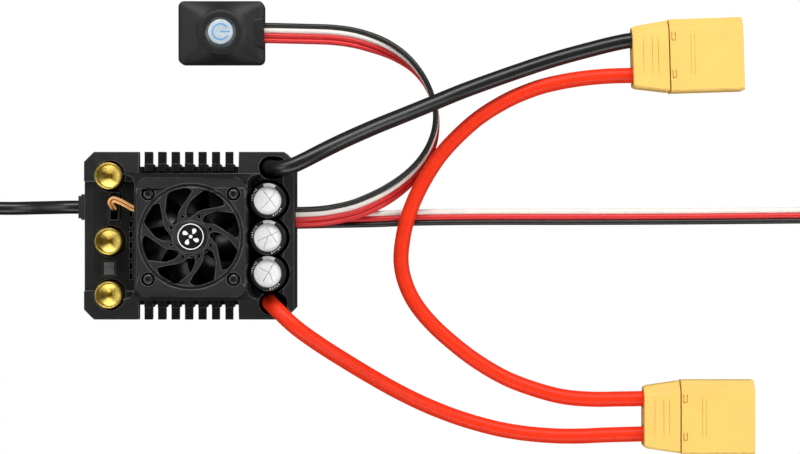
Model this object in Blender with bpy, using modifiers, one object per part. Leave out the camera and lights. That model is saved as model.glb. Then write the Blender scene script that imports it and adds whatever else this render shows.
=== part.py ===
"""Electronic speed controller for a large brushless model-car motor.

A plastic case in two halves holds a finned heat sink, the power and control
boards, three bullet sockets for the motor leads and three capacitors.  A 30 mm
fan blows down onto the fins under a guard with swirled openings.  Two twin-pin
battery connectors are wired in series, and a push-button switch, a receiver
lead and a motor sensor cable leave the case.

Frame: origin at the centre of the case's base, +X towards the battery leads,
+Z up.  Sizes are written in millimetres and scaled by MM.
"""
from math import atan2, cos, hypot, pi, radians, sin

import bmesh
import bpy
from mathutils import Matrix, Vector

MM = 0.001
GAP = 0.3                    # clearance between pieces that touch

# ---------------------------------------------------------------- case
CASE_HALF_LENGTH = 30.2
CASE_HALF_WIDTH = 24.1
CASE_CHAMFER = 2.9
WALL = 1.6
SEAM_Z = 10.0                # where the tray meets the cover
DECK_Z = 24.0
EAVES_Z = 22.0               # outer edge of the sloping deck
PLATEAU_Z = 34.0             # the square tower around the fan
LEFT_PANEL_Z = 21.4

# ---------------------------------------------------------------- side windows and fins
WINDOW_HALF = 14.3           # half of the window's length along X
WINDOW_Y = 19.9              # the window is open right through outside this
NOTCH_HALF = 16.9            # the window's half length below the cover's rim
RIM_Z = 19.2                 # lowest z of that rim
FIN_COUNT = 7
FIN_PITCH = 3.87
FIN_THICKNESS = 2.45
FIN_FOOT_THICKNESS = 1.3     # the fins taper downwards outside the cover
FIN_TOP = 22.2
FIN_FOOT = 14.5
SINK_PLATE = (7.0, 9.7)      # lowest and highest z of the heat sink's plate
LEDGE = (18.0, 20.0)         # the cover's ledge behind the fin ends

# ---------------------------------------------------------------- fan
FAN_X, FAN_Y = 1.8, -0.2
FAN_HALF = 15.0
FAN_BORE = 14.3
FAN_FRAME_Z = (27.5, 34.0)
GUARD_Z = (34.3, 37.0)
GUARD_CENTRE = (1.8, -0.4)
GUARD_HALF = (15.4, 16.8)
FAN_SCREW_PITCH = 24.0
GUARD_OPENINGS = 8
ROTOR_BLADES = 7
BLADE_TIP = 13.6
HUB_RADIUS = 6.6
HUB_TOP = 33.4
BADGE_RADIUS = 4.6
SCREW_BORE = 1.2
SCREW_HEAD_RADIUS = 1.57
SCREW_SHANK_RADIUS = 0.85

# ---------------------------------------------------------------- sockets and capacitors
SOCKET_X = -22.6
SOCKET_YS = (17.1, -1.6, -16.9)
SOCKET_RADIUS = 3.87
SOCKET_BORE = 3.25
SOCKET_TOP = 27.0
CAPACITOR_X = 23.0
CAPACITOR_YS = (10.0, -0.5, -10.7)
CAPACITOR_RADIUS = 5.1
CAPACITOR_TOP = 30.0
WELL_RADIUS = 6.0
SOCKET_HOLE_RADIUS = 4.45
WIRE_HOLE_YS = (19.5, -19.4)
MOSFET_BANK_YS = (11.0, 0.0, -11.0)
POWER_BOARD_Z = (3.0, 4.6)
CONTROL_BOARD_Z = (14.6, 16.0)

# ---------------------------------------------------------------- things on the left panel
LED_CENTRE = (-23.0, -9.4)
LED_SIZE = (3.0, 3.6)
FAN_SOCKET_CENTRE = (-21.4, 8.4)
FAN_SOCKET_SIZE = (3.0, 8.5)
VENT_X = -16.7
VENT_FIRST_Y, VENT_PITCH, VENT_COUNT = 6.3, 3.0, 7

# ---------------------------------------------------------------- cables
BATTERY_WIRE = 4.5           # silicone wire, outer diameter
SENSOR_CABLE = 3.9
RECEIVER_WIDTH, RECEIVER_THICKNESS = 4.8, 1.6
SWITCH_LEAD_WIDTH, SWITCH_LEAD_THICKNESS = 6.0, 1.5
FAN_WIRE = 0.8
GROMMET_Y, GROMMET_Z = 8.3, 9.1
GLAND_Y, GLAND_Z = 5.0, 8.2
GROMMET_HALF_Y, GROMMET_HALF_Z = 2.95, 3.1
GLAND_HALF_Y, GLAND_HALF_Z = 3.9, 3.4
RECEIVER_PLUG_START = (209.0, 6.1)
PLUG_PITCH = 2.54

# ---------------------------------------------------------------- battery connectors
CONNECTOR_LENGTH = 32.3
CONNECTOR_WIDTH = 21.5
CONNECTOR_HEIGHT = 11.0
CONNECTOR_CAP = 10.5         # length of the cap over the solder joints
CONNECTOR_CHAMFER = 2.8
CONNECTOR_WALL = 1.4
CAP_BORE = 2.85
PIN_PITCH = 10.4
PIN_RADIUS = 2.25
CONNECTORS = {               # name: (x, y, heading in degrees)
    "upper": (144.9, 52.8, 1.8),
    "lower": (148.2, -53.2, 0.0),
}

# ---------------------------------------------------------------- switch
SWITCH_CENTRE = (8.1, 59.6)
SWITCH_HALF = (12.6, 9.25)
SWITCH_CORNER = 1.6
SWITCH_TOP = 10.0
SWITCH_WALL = 1.4
SWITCH_SEAM = 1.8             # lowest z of the switch's upper half
SWITCH_SHOULDER = 7.4
BOSS_RADIUS = 6.6
BUTTON_RADIUS = 3.8
BUTTON_BORE = 4.3
BUTTON_FLANGE = 4.8          # radius of the rim that keeps the button in
BUTTON_CENTRE = (8.1, 59.6)

# ---------------------------------------------------------------- cable routes, mm
BLACK_ROUTE = [
    (22.6, 19.9, 8.0), (22.6, 19.9, 14.0), (22.7, 19.8, 19.0), (23.6, 19.5, 23.2),
    (25.8, 19.2, 26.3), (29.0, 19.6, 27.9), (32.8, 21.2, 28.1), (38.5, 24.2, 26.4),
    (44.8, 27.4, 23.6), (53.4, 31.4, 19.4), (62.1, 35.1, 15.4), (70.8, 38.8, 12.0),
    (79.6, 42.5, 9.3), (92.9, 47.4, 7.0), (106.0, 51.8, 5.8), (118.0, 55.1, 5.5),
    (124.6, 56.7, 5.5), (128.6, 57.4, 5.5), (132.2, 57.6, 5.5),
]
RED_ROUTE = [
    (22.6, -18.6, 8.0), (22.6, -18.6, 14.0), (22.8, -18.8, 19.0), (23.7, -19.6, 23.2),
    (25.8, -21.4, 26.3), (29.0, -24.4, 27.9), (32.6, -27.4, 27.6), (38.5, -31.7, 25.0),
    (45.3, -36.3, 20.6), (52.2, -40.8, 15.8), (59.1, -45.0, 11.4), (66.2, -48.8, 7.8),
    (73.3, -52.0, 5.2), (80.4, -54.6, 3.6), (89.0, -57.0, 2.7), (97.0, -58.4, 2.7),
    (105.5, -59.1, 3.4), (113.0, -59.1, 4.6), (121.0, -58.7, 5.4), (131.7, -58.4, 5.5),
    (135.6, -58.4, 5.5),
]
SERIES_ROUTE = [
    (132.7, 47.2, 5.5), (128.9, 47.1, 5.5), (121.8, 46.9, 5.4), (114.8, 46.3, 4.9),
    (107.8, 45.2, 4.3), (100.7, 43.4, 4.0), (92.5, 40.0, 3.9), (84.4, 35.1, 3.9),
    (77.9, 29.5, 4.0), (72.5, 23.6, 4.3), (68.3, 17.3, 4.5), (65.2, 11.3, 4.5),
    (62.8, 5.0, 4.5), (61.4, -1.2, 4.0), (60.9, -7.5, 3.1), (62.0, -13.5, 2.6),
    (64.8, -19.6, 2.5), (69.5, -25.6, 2.5), (75.6, -31.3, 2.5), (83.0, -37.0, 2.5),
    (91.5, -42.0, 2.6), (100.0, -45.3, 2.9), (108.5, -47.5, 3.9), (117.0, -48.2, 5.0),
    (125.0, -48.1, 5.5), (131.7, -48.0, 5.5), (135.6, -48.0, 5.5),
]
SENSOR_ROUTE = [
    (-27.2, 8.3, 9.1), (-31.8, 8.3, 9.1), (-36.5, 8.3, 8.7), (-42.0, 8.2, 6.6),
    (-48.0, 8.1, 3.8), (-54.0, 8.0, 2.3), (-62.0, 8.1, 2.1), (-70.2, 8.2, 2.1),
]
RECEIVER_ROUTE = [
    (28.5, 4.4, 6.3), (31.5, 4.4, 6.1), (35.5, 4.5, 4.6), (40.0, 4.6, 2.4),
    (46.0, 4.7, 1.1), (54.7, 4.9, 0.9), (66.0, 5.3, 0.9), (85.0, 5.5, 0.9),
    (112.0, 5.5, 0.9), (140.0, 5.6, 0.9), (166.0, 5.8, 0.9), (186.0, 6.0, 0.9),
    (203.0, 6.1, 1.2), (208.7, 6.1, 1.5),
]
# The last value is the lead's turn about its own axis, degrees from lying flat.
SWITCH_LEAD_ROUTE = [
    (18.9, 59.6, 5.0, 0.0), (22.5, 59.6, 5.0, 0.0), (27.5, 59.6, 3.6, 0.0),
    (34.0, 59.6, 1.6, 0.0), (40.5, 59.4, 1.1, -4.0), (46.5, 58.6, 1.35, -10.0),
    (52.0, 57.1, 1.8, -22.0), (57.0, 55.1, 2.4, -40.0), (61.5, 52.4, 2.85, -58.0),
    (65.3, 49.0, 3.05, -74.0), (68.2, 45.0, 3.1, -84.0), (70.2, 40.6, 3.1, -90.0),
    (71.2, 36.0, 3.1, -94.0), (71.1, 31.4, 3.1, -100.0), (70.0, 26.9, 3.0, -110.0),
    (67.9, 22.5, 2.8, -121.0), (64.8, 18.5, 2.5, -132.0), (60.8, 14.9, 2.2, -144.0),
    (56.4, 11.9, 2.1, -156.0), (52.0, 9.6, 2.8, -168.0), (47.4, 7.7, 3.2, -177.0),
    (42.6, 6.5, 4.1, -180.0), (37.6, 5.7, 6.2, -180.0), (32.5, 5.4, 9.0, -180.0),
    (28.5, 5.4, 9.3, -180.0),
]

# Fan wires: offset from the fan socket, height, and the direction the pair spreads in.
FAN_WIRE_ROUTE = [
    (0.0, -0.6, 23.2, -1.0, 0.0), (-0.3, 0.1, 24.5, -1.0, -0.2), (-0.7, 1.0, 25.4, -1.0, 0.3),
    (0.1, 1.9, 25.9, -0.4, 1.0), (2.0, 1.4, 26.0, 0.2, 1.0), (3.8, 0.5, 25.9, 0.35, 0.9),
    (5.6, -0.5, 25.8, 0.4, 0.9), (7.4, -0.9, 25.8, 0.1, 1.0),
]

# ---------------------------------------------------------------- sensor cable's coil
COIL_CENTRE = (-84.8, -16.3)
COIL_OUTER, COIL_INNER = 26.6, 14.1
SENSOR_PLUG_CENTRE = (-86.4, -9.1)

MATERIALS = {                # colour, roughness, metallic
    "case_plastic": ((0.022, 0.022, 0.024), 0.45, 0.0),
    "anodised_aluminium": ((0.012, 0.012, 0.013), 0.35, 0.8),
    "circuit_board": ((0.015, 0.060, 0.030), 0.55, 0.0),
    "silicone_pad": ((0.35, 0.36, 0.38), 0.80, 0.0),
    "chip_package": ((0.020, 0.020, 0.020), 0.60, 0.0),
    "gold_plate": ((0.70, 0.55, 0.16), 0.25, 1.0),
    "capacitor_aluminium": ((0.75, 0.75, 0.75), 0.35, 1.0),
    "sleeve_film": ((0.018, 0.018, 0.020), 0.30, 0.0),
    "badge_film": ((0.010, 0.010, 0.010), 0.25, 0.0),
    "blade_plastic": ((0.015, 0.015, 0.016), 0.35, 0.0),
    "steel": ((0.08, 0.08, 0.08), 0.35, 1.0),
    "ferrite": ((0.05, 0.05, 0.05), 0.60, 0.2),
    "copper_winding": ((0.55, 0.22, 0.09), 0.40, 0.9),
    "bronze": ((0.50, 0.30, 0.14), 0.45, 1.0),
    "orange_wire": ((0.85, 0.30, 0.06), 0.45, 0.0),
    "smoked_window": ((0.12, 0.12, 0.12), 0.25, 0.0),
    "rubber": ((0.015, 0.015, 0.016), 0.60, 0.0),
    "black_silicone": ((0.012, 0.012, 0.012), 0.35, 0.0),
    "red_silicone": ((0.75, 0.05, 0.02), 0.40, 0.0),
    "lead_insulation": ((0.70, 0.03, 0.04), 0.40, 0.0),
    "yellow_nylon": ((0.95, 0.66, 0.20), 0.40, 0.0),
    "button_resin": ((0.75, 0.80, 0.86), 0.30, 0.0),
}


# ---------------------------------------------------------------- scene set-up
def clear_scene():
    for obj in list(bpy.data.objects):
        bpy.data.objects.remove(obj, do_unlink=True)


def make_collection(name):
    collection = bpy.data.collections.new(name)
    bpy.context.scene.collection.children.link(collection)
    return collection


def make_material(name):
    colour, roughness, metallic = MATERIALS[name]
    material = bpy.data.materials.new(name)
    material.use_nodes = True
    shader = material.node_tree.nodes["Principled BSDF"]
    shader.inputs["Base Color"].default_value = (*colour, 1.0)
    shader.inputs["Roughness"].default_value = roughness
    shader.inputs["Metallic"].default_value = metallic
    return material


clear_scene()
PARTS = make_collection("electronic_speed_controller")
CUTTERS = make_collection("cutters")
FINISH = {name: make_material(name) for name in MATERIALS}


# ---------------------------------------------------------------- modelling helpers
def add_part(name, mesh, finish):
    """Link a mesh as a named part with its material."""
    obj = bpy.data.objects.new(name, mesh)
    mesh.materials.clear()
    mesh.materials.append(FINISH[finish])
    mesh.shade_smooth()
    mesh.set_sharp_from_angle(angle=radians(35))
    PARTS.objects.link(obj)
    return obj


def add_cutter(name, mesh):
    obj = bpy.data.objects.new(name, mesh)
    obj.hide_render = True
    obj.display_type = 'WIRE'
    CUTTERS.objects.link(obj)
    return obj


def combine(obj, other, operation='DIFFERENCE'):
    """Add a Boolean modifier that cuts or joins another object."""
    modifier = obj.modifiers.new(operation.lower(), 'BOOLEAN')
    modifier.operation = operation
    modifier.solver = 'EXACT'
    modifier.object = other


def cut(obj, *meshes):
    for mesh in meshes:
        combine(obj, add_cutter(obj.name + "_cut", mesh))


def join(obj, *meshes):
    for mesh in meshes:
        combine(obj, add_cutter(obj.name + "_join", mesh), 'UNION')


def box_mesh(low, high):
    """A box between two corners."""
    bm = bmesh.new()
    bmesh.ops.create_cube(bm, size=1.0)
    size = [(b - a) * MM for a, b in zip(low, high)]
    middle = [(a + b) / 2 * MM for a, b in zip(low, high)]
    bmesh.ops.scale(bm, vec=size, verts=bm.verts)
    bmesh.ops.translate(bm, vec=middle, verts=bm.verts)
    mesh = bpy.data.meshes.new("box")
    bm.to_mesh(mesh)
    bm.free()
    return mesh


def centred_box(x, y, width, depth, z_low, z_high):
    half_w, half_d = width / 2, depth / 2
    return box_mesh((x - half_w, y - half_d, z_low), (x + half_w, y + half_d, z_high))


def cylinder_mesh(x, y, radius, z_low, z_high, sides=32):
    """An upright cylinder."""
    bm = bmesh.new()
    bmesh.ops.create_cone(
        bm, cap_ends=True, segments=sides,
        radius1=radius * MM, radius2=radius * MM, depth=(z_high - z_low) * MM)
    bmesh.ops.translate(bm, vec=(x * MM, y * MM, (z_low + z_high) / 2 * MM), verts=bm.verts)
    mesh = bpy.data.meshes.new("cylinder")
    bm.to_mesh(mesh)
    bm.free()
    return mesh


def baked(obj):
    """The evaluated mesh of an object, with its caps welded; the object is removed."""
    bpy.context.view_layer.update()
    graph = bpy.context.evaluated_depsgraph_get()
    mesh = bpy.data.meshes.new_from_object(obj.evaluated_get(graph))
    mesh.transform(obj.matrix_world)
    bm = bmesh.new()
    bm.from_mesh(mesh)
    bmesh.ops.remove_doubles(bm, verts=bm.verts, dist=0.00001)
    bmesh.ops.recalc_face_normals(bm, faces=bm.faces)
    bm.to_mesh(mesh)
    bm.free()
    data = obj.data
    bpy.data.objects.remove(obj, do_unlink=True)
    if isinstance(data, bpy.types.Curve):
        bpy.data.curves.remove(data)
    return mesh


def outline_mesh(outlines, low, high, axis='Z'):
    """Flat outlines (the first filled, the others holes) extruded from low to high.

    For axis 'Z' the outline's points are (x, y); for axis 'X' they are (y, z).
    """
    curve = bpy.data.curves.new("outline", 'CURVE')
    curve.dimensions = '2D'
    curve.fill_mode = 'BOTH'
    curve.extrude = (high - low) / 2 * MM
    for points in outlines:
        spline = curve.splines.new('POLY')
        spline.points.add(len(points) - 1)
        for point, (u, v) in zip(spline.points, points):
            point.co = (u * MM, v * MM, 0.0, 1.0)
        spline.use_cyclic_u = True
    obj = bpy.data.objects.new("outline", curve)
    CUTTERS.objects.link(obj)
    middle = (low + high) / 2 * MM
    if axis == 'Z':
        obj.location = (0.0, 0.0, middle)
    else:
        obj.rotation_euler = (radians(90), 0.0, radians(90))
        obj.location = (middle, 0.0, 0.0)
    return baked(obj)


def turned_mesh(profile, x=0.0, y=0.0, sides=24, closed=False):
    """A solid of revolution from (radius, z) points that run from top to bottom."""
    mesh = bpy.data.meshes.new("profile")
    points = [(r * MM, 0.0, z * MM) for r, z in profile]
    edges = [(i, i + 1) for i in range(len(points) - 1)]
    if closed:
        edges.append((len(points) - 1, 0))
    mesh.from_pydata(points, edges, [])
    obj = bpy.data.objects.new("profile", mesh)
    CUTTERS.objects.link(obj)
    screw = obj.modifiers.new("turn", 'SCREW')
    screw.angle = 2 * pi
    screw.steps = sides
    screw.render_steps = sides
    screw.use_merge_vertices = True
    screw.merge_threshold = 0.00001
    obj.location = (x * MM, y * MM, 0.0)
    return baked(obj)


def arc(cx, cy, radius, start, end, steps):
    """Points on an arc, angles in degrees."""
    turn = [radians(start + (end - start) * i / steps) for i in range(steps + 1)]
    return [(cx + radius * cos(a), cy + radius * sin(a)) for a in turn]


def circle(cx, cy, radius, steps=32):
    return arc(cx, cy, radius, 0.0, 360.0, steps)[:-1]


def rounded_rectangle(cx, cy, half_x, half_y, radius, steps=4):
    corners = ((1, 1, 0), (-1, 1, 90), (-1, -1, 180), (1, -1, 270))
    points = []
    for sx, sy, start in corners:
        x = cx + sx * (half_x - radius)
        y = cy + sy * (half_y - radius)
        points += arc(x, y, radius, start, start + 90, steps)
    return points


def loft_mesh(rings):
    """A closed skin through rings that have the same number of (x, y, z) points."""
    bm = bmesh.new()
    rows = [[bm.verts.new(Vector(p) * MM) for p in ring] for ring in rings]
    count = len(rows[0])
    for lower, upper in zip(rows, rows[1:]):
        for i in range(count):
            j = (i + 1) % count
            bm.faces.new((lower[i], lower[j], upper[j], upper[i]))
    bm.faces.new(list(reversed(rows[0])))
    bm.faces.new(rows[-1])
    bmesh.ops.recalc_face_normals(bm, faces=bm.faces)
    mesh = bpy.data.meshes.new("loft")
    bm.to_mesh(mesh)
    bm.free()
    return mesh


def smooth_route(points, spacing):
    """Points at an even spacing along a smooth curve through the route's own points."""
    knots = [Vector(p) for p in points]
    knots = [2 * knots[0] - knots[1]] + knots + [2 * knots[-1] - knots[-2]]
    fine = []
    for a, b, c, d in zip(knots, knots[1:], knots[2:], knots[3:]):
        for i in range(16):
            t = i / 16
            fine.append(0.5 * (2 * b + (c - a) * t + (2 * a - 5 * b + 4 * c - d) * t ** 2
                               + (3 * b - a - 3 * c + d) * t ** 3))
    fine.append(knots[-2])
    lengths = [0.0]
    for p, q in zip(fine, fine[1:]):
        lengths.append(lengths[-1] + (q.xyz - p.xyz).length)
    steps = max(2, round(lengths[-1] / spacing))
    route, i = [], 0
    for k in range(steps + 1):
        target = lengths[-1] * k / steps
        while i < len(fine) - 2 and lengths[i + 1] < target:
            i += 1
        span = lengths[i + 1] - lengths[i]
        route.append(fine[i].lerp(fine[i + 1], (target - lengths[i]) / span))
    return route


def tube_mesh(points, diameter, spacing):
    """A round wire along a smooth route."""
    curve = bpy.data.curves.new("wire", 'CURVE')
    curve.dimensions = '3D'
    curve.bevel_depth = diameter / 2 * MM
    curve.bevel_resolution = 2
    curve.use_fill_caps = True
    route = smooth_route(points, spacing)
    spline = curve.splines.new('POLY')
    spline.points.add(len(route) - 1)
    for point, place in zip(spline.points, route):
        point.co = (*(place * MM), 1.0)
    obj = bpy.data.objects.new("wire", curve)
    CUTTERS.objects.link(obj)
    return baked(obj)


def ribbon_mesh(points, width, thickness, spacing):
    """A flat lead: its route's fourth value turns it about its own line."""
    route = smooth_route([p if len(p) == 4 else (*p, 0.0) for p in points], spacing)
    reach = (width - thickness) / 2
    section = (arc(reach, 0.0, thickness / 2, -90, 90, 3)
               + arc(-reach, 0.0, thickness / 2, 90, 270, 3))
    rings = []
    for i, place in enumerate(route):
        ahead = route[min(i + 1, len(route) - 1)].xyz - route[max(i - 1, 0)].xyz
        ahead.normalize()
        side = Vector((-ahead.y, ahead.x, 0.0)).normalized()
        above = ahead.cross(side)
        turn = radians(place[3])
        across = side * cos(turn) - above * sin(turn)
        through = side * sin(turn) + above * cos(turn)
        rings.append([place.xyz + across * u + through * v for u, v in section])
    return loft_mesh(rings)


# ---------------------------------------------------------------- case and heat sink
def case_outline(inset=0.0, half_notch=WINDOW_HALF):
    """The case seen from above: a chamfered rectangle with a notch in each long side."""
    x = CASE_HALF_LENGTH - inset
    y = CASE_HALF_WIDTH - inset
    chamfer = CASE_CHAMFER - inset * (2 - 2 ** 0.5)
    notch_x = half_notch + inset
    notch_y = WINDOW_Y - inset
    quarter = [(x, y - chamfer), (x - chamfer, y), (notch_x, y), (notch_x, notch_y)]
    top = quarter + [(-px, py) for px, py in reversed(quarter)]
    return top + [(px, -py) for px, py in reversed(top)]


def both_sides(low, high):
    """Two boxes, the second mirrored across the XZ plane."""
    (x0, y0, z0), (x1, y1, z1) = low, high
    return box_mesh(low, high), box_mesh((x0, -y1, z0), (x1, -y0, z1))


def wall_notches():
    """The openings that the sensor grommet and the lead gland fill, in both halves."""
    grommet = box_mesh(
        (-32.0, GROMMET_Y - GROMMET_HALF_Y - GAP, GROMMET_Z - GROMMET_HALF_Z - GAP),
        (-28.0, GROMMET_Y + GROMMET_HALF_Y + GAP, GROMMET_Z + GROMMET_HALF_Z + GAP))
    gland = box_mesh(
        (28.0, GLAND_Y - GLAND_HALF_Y - GAP, GLAND_Z - GLAND_HALF_Z - GAP),
        (32.0, GLAND_Y + GLAND_HALF_Y + GAP, GLAND_Z + GLAND_HALF_Z + GAP))
    return grommet, gland


def make_tray():
    outer = outline_mesh([case_outline(0.0, NOTCH_HALF)], 0.0, SEAM_Z - GAP)
    tray = add_part("lower_tray", outer, "case_plastic")
    cut(tray, outline_mesh([case_outline(WALL, NOTCH_HALF)], WALL, SEAM_Z + 1))
    slot_low = (-WINDOW_HALF - GAP, -CASE_HALF_WIDTH - 1, SINK_PLATE[0] - GAP)
    slot_high = (WINDOW_HALF + GAP, CASE_HALF_WIDTH + 1, SEAM_Z + 1)
    cut(tray, box_mesh(slot_low, slot_high), *wall_notches())


def plateau_outline():
    """The fan tower's plan: a rectangle whose four corners flare out along its long edges."""
    flare = 3.2
    right, left, top, bottom = 17.5, -14.4, 17.7, -18.2
    points = arc(right + flare, top - flare - 0.3, flare, 180, 90, 5)
    points += [(right + flare, top), (left - flare, top)]
    points += arc(left - flare, top - flare - 0.3, flare, 90, 0, 5)
    points += arc(left - flare, bottom + flare + 0.3, flare, 0, -90, 5)
    points += [(left - flare, bottom), (right + flare, bottom)]
    points += arc(right + flare, bottom + flare + 0.3, flare, 270, 180, 5)
    return points


def slope_cutters():
    """Wedges that slope the deck down to its outer edges."""
    length, width = CASE_HALF_LENGTH, CASE_HALF_WIDTH
    rise, above = DECK_Z - EAVES_Z, DECK_Z + 2
    run = 5.9
    slope = rise / run
    drop = EAVES_Z - slope          # height of the slope 1 mm outside the edge
    long_side = [(width + 1, drop), (width + 1, above),
                 (width - run - 1, above), (width - run - 1, DECK_Z + slope)]
    mirrored = [(-y, z) for y, z in long_side]
    yield outline_mesh([long_side], -length - 1, length + 1, 'X')
    yield outline_mesh([mirrored], -length - 1, length + 1, 'X')
    for sign, reach in ((-1, 6.2), (1, 3.0)):
        slope = rise / reach
        inner, outer = sign * (length - reach - 1), sign * (length + 1)
        ring = [(inner, DECK_Z + slope), (outer, EAVES_Z - slope), (outer, above), (inner, above)]
        yield loft_mesh([[(x, y, z) for x, z in ring] for y in (-width - 1, width + 1)])


def left_panel_cutter():
    """Lowers the deck between the two left corner blocks, sloping down to the left."""
    ring = [(-31.5, LEFT_PANEL_Z - 1.2), (-27.5, LEFT_PANEL_Z), (-15.4, LEFT_PANEL_Z + 0.3),
            (-14.4, DECK_Z + 2), (-31.5, DECK_Z + 2)]
    return loft_mesh([[(x, y, z) for x, z in ring] for y in (-15.9, 15.6)])


def capacitor_well():
    """The scalloped opening around the three capacitors."""
    left = 17.9
    low = min(CAPACITOR_YS) - 4.6
    high = max(CAPACITOR_YS) + 4.6
    yield box_mesh((left, low, 12.0), (CAPACITOR_X + 2.6, high, 40.0))
    for y in CAPACITOR_YS:
        yield cylinder_mesh(CAPACITOR_X, y, WELL_RADIUS, 12.0, 40.0)


def wire_hole(y):
    """A short slot in the deck that a battery wire bends out of."""
    first, last = 23.4, 25.0
    points = arc(last, y, 3.3, -90, 90, 10) + arc(first, y, 3.3, 90, 270, 10)
    return outline_mesh([points], 16.0, 40.0)


def make_cover():
    cover = add_part("upper_cover", outline_mesh([case_outline()], SEAM_Z, DECK_Z), "case_plastic")
    cut(cover, *slope_cutters(), left_panel_cutter())
    # The deck behind the fin ends drops to a ledge before the tower is added.
    cut(cover, *both_sides((-WINDOW_HALF, 15.0, LEDGE[1]), (WINDOW_HALF, 21.0, DECK_Z + 2)))
    tower = add_cutter("tower", outline_mesh([plateau_outline()], LEDGE[0], PLATEAU_Z))
    edge_bevel(tower, PLATEAU_Z, 0.9)
    combine(cover, tower, 'UNION')
    # Hollow underneath: the middle under the fan, and the two ends under the deck.
    inner_y = CASE_HALF_WIDTH - WALL
    inner_x = CASE_HALF_LENGTH - WALL
    end_x = NOTCH_HALF + WALL
    cut(cover, outline_mesh([case_outline(WALL, NOTCH_HALF)], 9.0, LEDGE[0] - 0.1))
    cut(cover, *both_sides((-NOTCH_HALF, WINDOW_Y, 9.0), (NOTCH_HALF, 25.0, RIM_Z)))
    cut(cover, box_mesh((end_x, 2.0 - inner_y, 12.0), (inner_x, inner_y - 2.0, 20.2)))
    cut(cover, *both_sides((-WINDOW_HALF, 15.0, 9.0), (WINDOW_HALF, 25.0, LEDGE[0] - GAP)))
    duct, pocket = FAN_HALF - 0.9, FAN_HALF + GAP
    cut(cover, centred_box(FAN_X, FAN_Y, 2 * duct, 2 * duct, 15.0, 30.0))
    cut(cover, centred_box(FAN_X, FAN_Y, 2 * pocket, 2 * pocket, FAN_FRAME_Z[0] - GAP, 40.0))
    for y in SOCKET_YS:
        cut(cover, cylinder_mesh(SOCKET_X, y, SOCKET_HOLE_RADIUS, 12.0, 40.0))
    cut(cover, *capacitor_well(), *(wire_hole(y) for y in WIRE_HOLE_YS))
    cut(cover, centred_box(*LED_CENTRE, LED_SIZE[0] + 2 * GAP, LED_SIZE[1] + 2 * GAP, 12.0, 30.0))
    width, depth = (size + 2 * GAP for size in FAN_SOCKET_SIZE)
    cut(cover, centred_box(*FAN_SOCKET_CENTRE, width, depth, 12.0, 30.0))
    for i in range(VENT_COUNT):
        y = VENT_FIRST_Y - i * VENT_PITCH
        cut(cover, centred_box(VENT_X, y, 0.85, 1.65, 12.0, 30.0))
    cut(cover, box_mesh((-16.0, 6.0, 24.4), (-12.5, 9.0, 27.0)))
    cut(cover, *wall_notches())


def edge_bevel(obj, height, width, segments=1):
    """Bevel only the edges that lie at one height."""
    mesh = obj.data
    weights = mesh.attributes.new("bevel_weight_edge", 'FLOAT', 'EDGE')
    for edge in mesh.edges:
        level = all(abs(mesh.vertices[v].co.z - height * MM) < 1e-6 for v in edge.vertices)
        weights.data[edge.index].value = 1.0 if level else 0.0
    bevel = obj.modifiers.new("bevel", 'BEVEL')
    bevel.limit_method = 'WEIGHT'
    bevel.width = width * MM
    bevel.segments = segments


def make_heat_sink():
    """A plate with fins: each fin runs across the case and rises outside the cover."""
    plate_low, plate_high = SINK_PLATE
    half = FIN_PITCH * (FIN_COUNT - 1) / 2 + FIN_THICKNESS / 2 + 0.4
    sink = add_part("heat_sink", box_mesh((-half, -19.0, plate_low), (half, 19.0, plate_high)),
                    "anodised_aluminium")
    inner = WINDOW_Y + GAP
    stub = inner + 0.4
    neck = 18.2 + GAP
    half_fin = [(stub, FIN_FOOT), (stub, FIN_TOP), (neck, FIN_TOP), (neck, LEDGE[1] + GAP),
                (inner, LEDGE[1] + GAP), (inner, LEDGE[0] - 2 * GAP), (16.0, LEDGE[0] - 2 * GAP),
                (15.0, 16.6)]
    profile = half_fin + [(-y, z) for y, z in reversed(half_fin)]
    root = plate_low + 0.4
    profile += [(-inner, FIN_FOOT), (-inner, root), (inner, root), (inner, FIN_FOOT)]
    for i in range(FIN_COUNT):
        x = (i - (FIN_COUNT - 1) / 2) * FIN_PITCH
        join(sink, outline_mesh([profile], x - FIN_THICKNESS / 2, x + FIN_THICKNESS / 2, 'X'),
             fin_end(x, stub - 0.2, 1), fin_end(x, stub - 0.2, -1))


def fin_end(x, start, sign):
    """The part of a fin that stands outside the cover, thinner towards its foot."""
    foot, tip = FIN_FOOT_THICKNESS / 2, FIN_THICKNESS / 2 - 0.04
    low, high = FIN_FOOT + 0.1, FIN_TOP - 0.05
    ring = [(x - foot, low), (x + foot, low), (x + tip, high), (x - tip, high)]
    return loft_mesh([[(px, sign * y, z) for px, z in ring] for y in (start, CASE_HALF_WIDTH)])


def make_boards():
    board = add_part("power_board", box_mesh((-28.0, -18.0, POWER_BOARD_Z[0]),
                                             (28.0, 18.0, POWER_BOARD_Z[1])), "circuit_board")
    for x, y, _ in (BLACK_ROUTE[0], RED_ROUTE[0]):
        cut(board, cylinder_mesh(x, y, 3.0, 1.8, 6.0))
    control = add_part("control_board", box_mesh((-28.2, -18.0, CONTROL_BOARD_Z[0]),
                                                 (-16.3, 18.0, CONTROL_BOARD_Z[1])),
                       "circuit_board")
    for y in SOCKET_YS:
        cut(control, cylinder_mesh(SOCKET_X, y, SOCKET_RADIUS + 0.5, 14.0, 17.0, 24))
    for i, y in enumerate(MOSFET_BANK_YS):
        low = (-12.5, y - 4.2, POWER_BOARD_Z[1] + GAP)
        add_part(f"mosfet_bank_{i + 1}", box_mesh(low, (12.5, y + 4.2, 5.9)), "chip_package")
    add_part("thermal_pad", box_mesh((-12.5, -16.0, 6.2), (12.5, 16.0, 6.7)), "silicone_pad")


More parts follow.
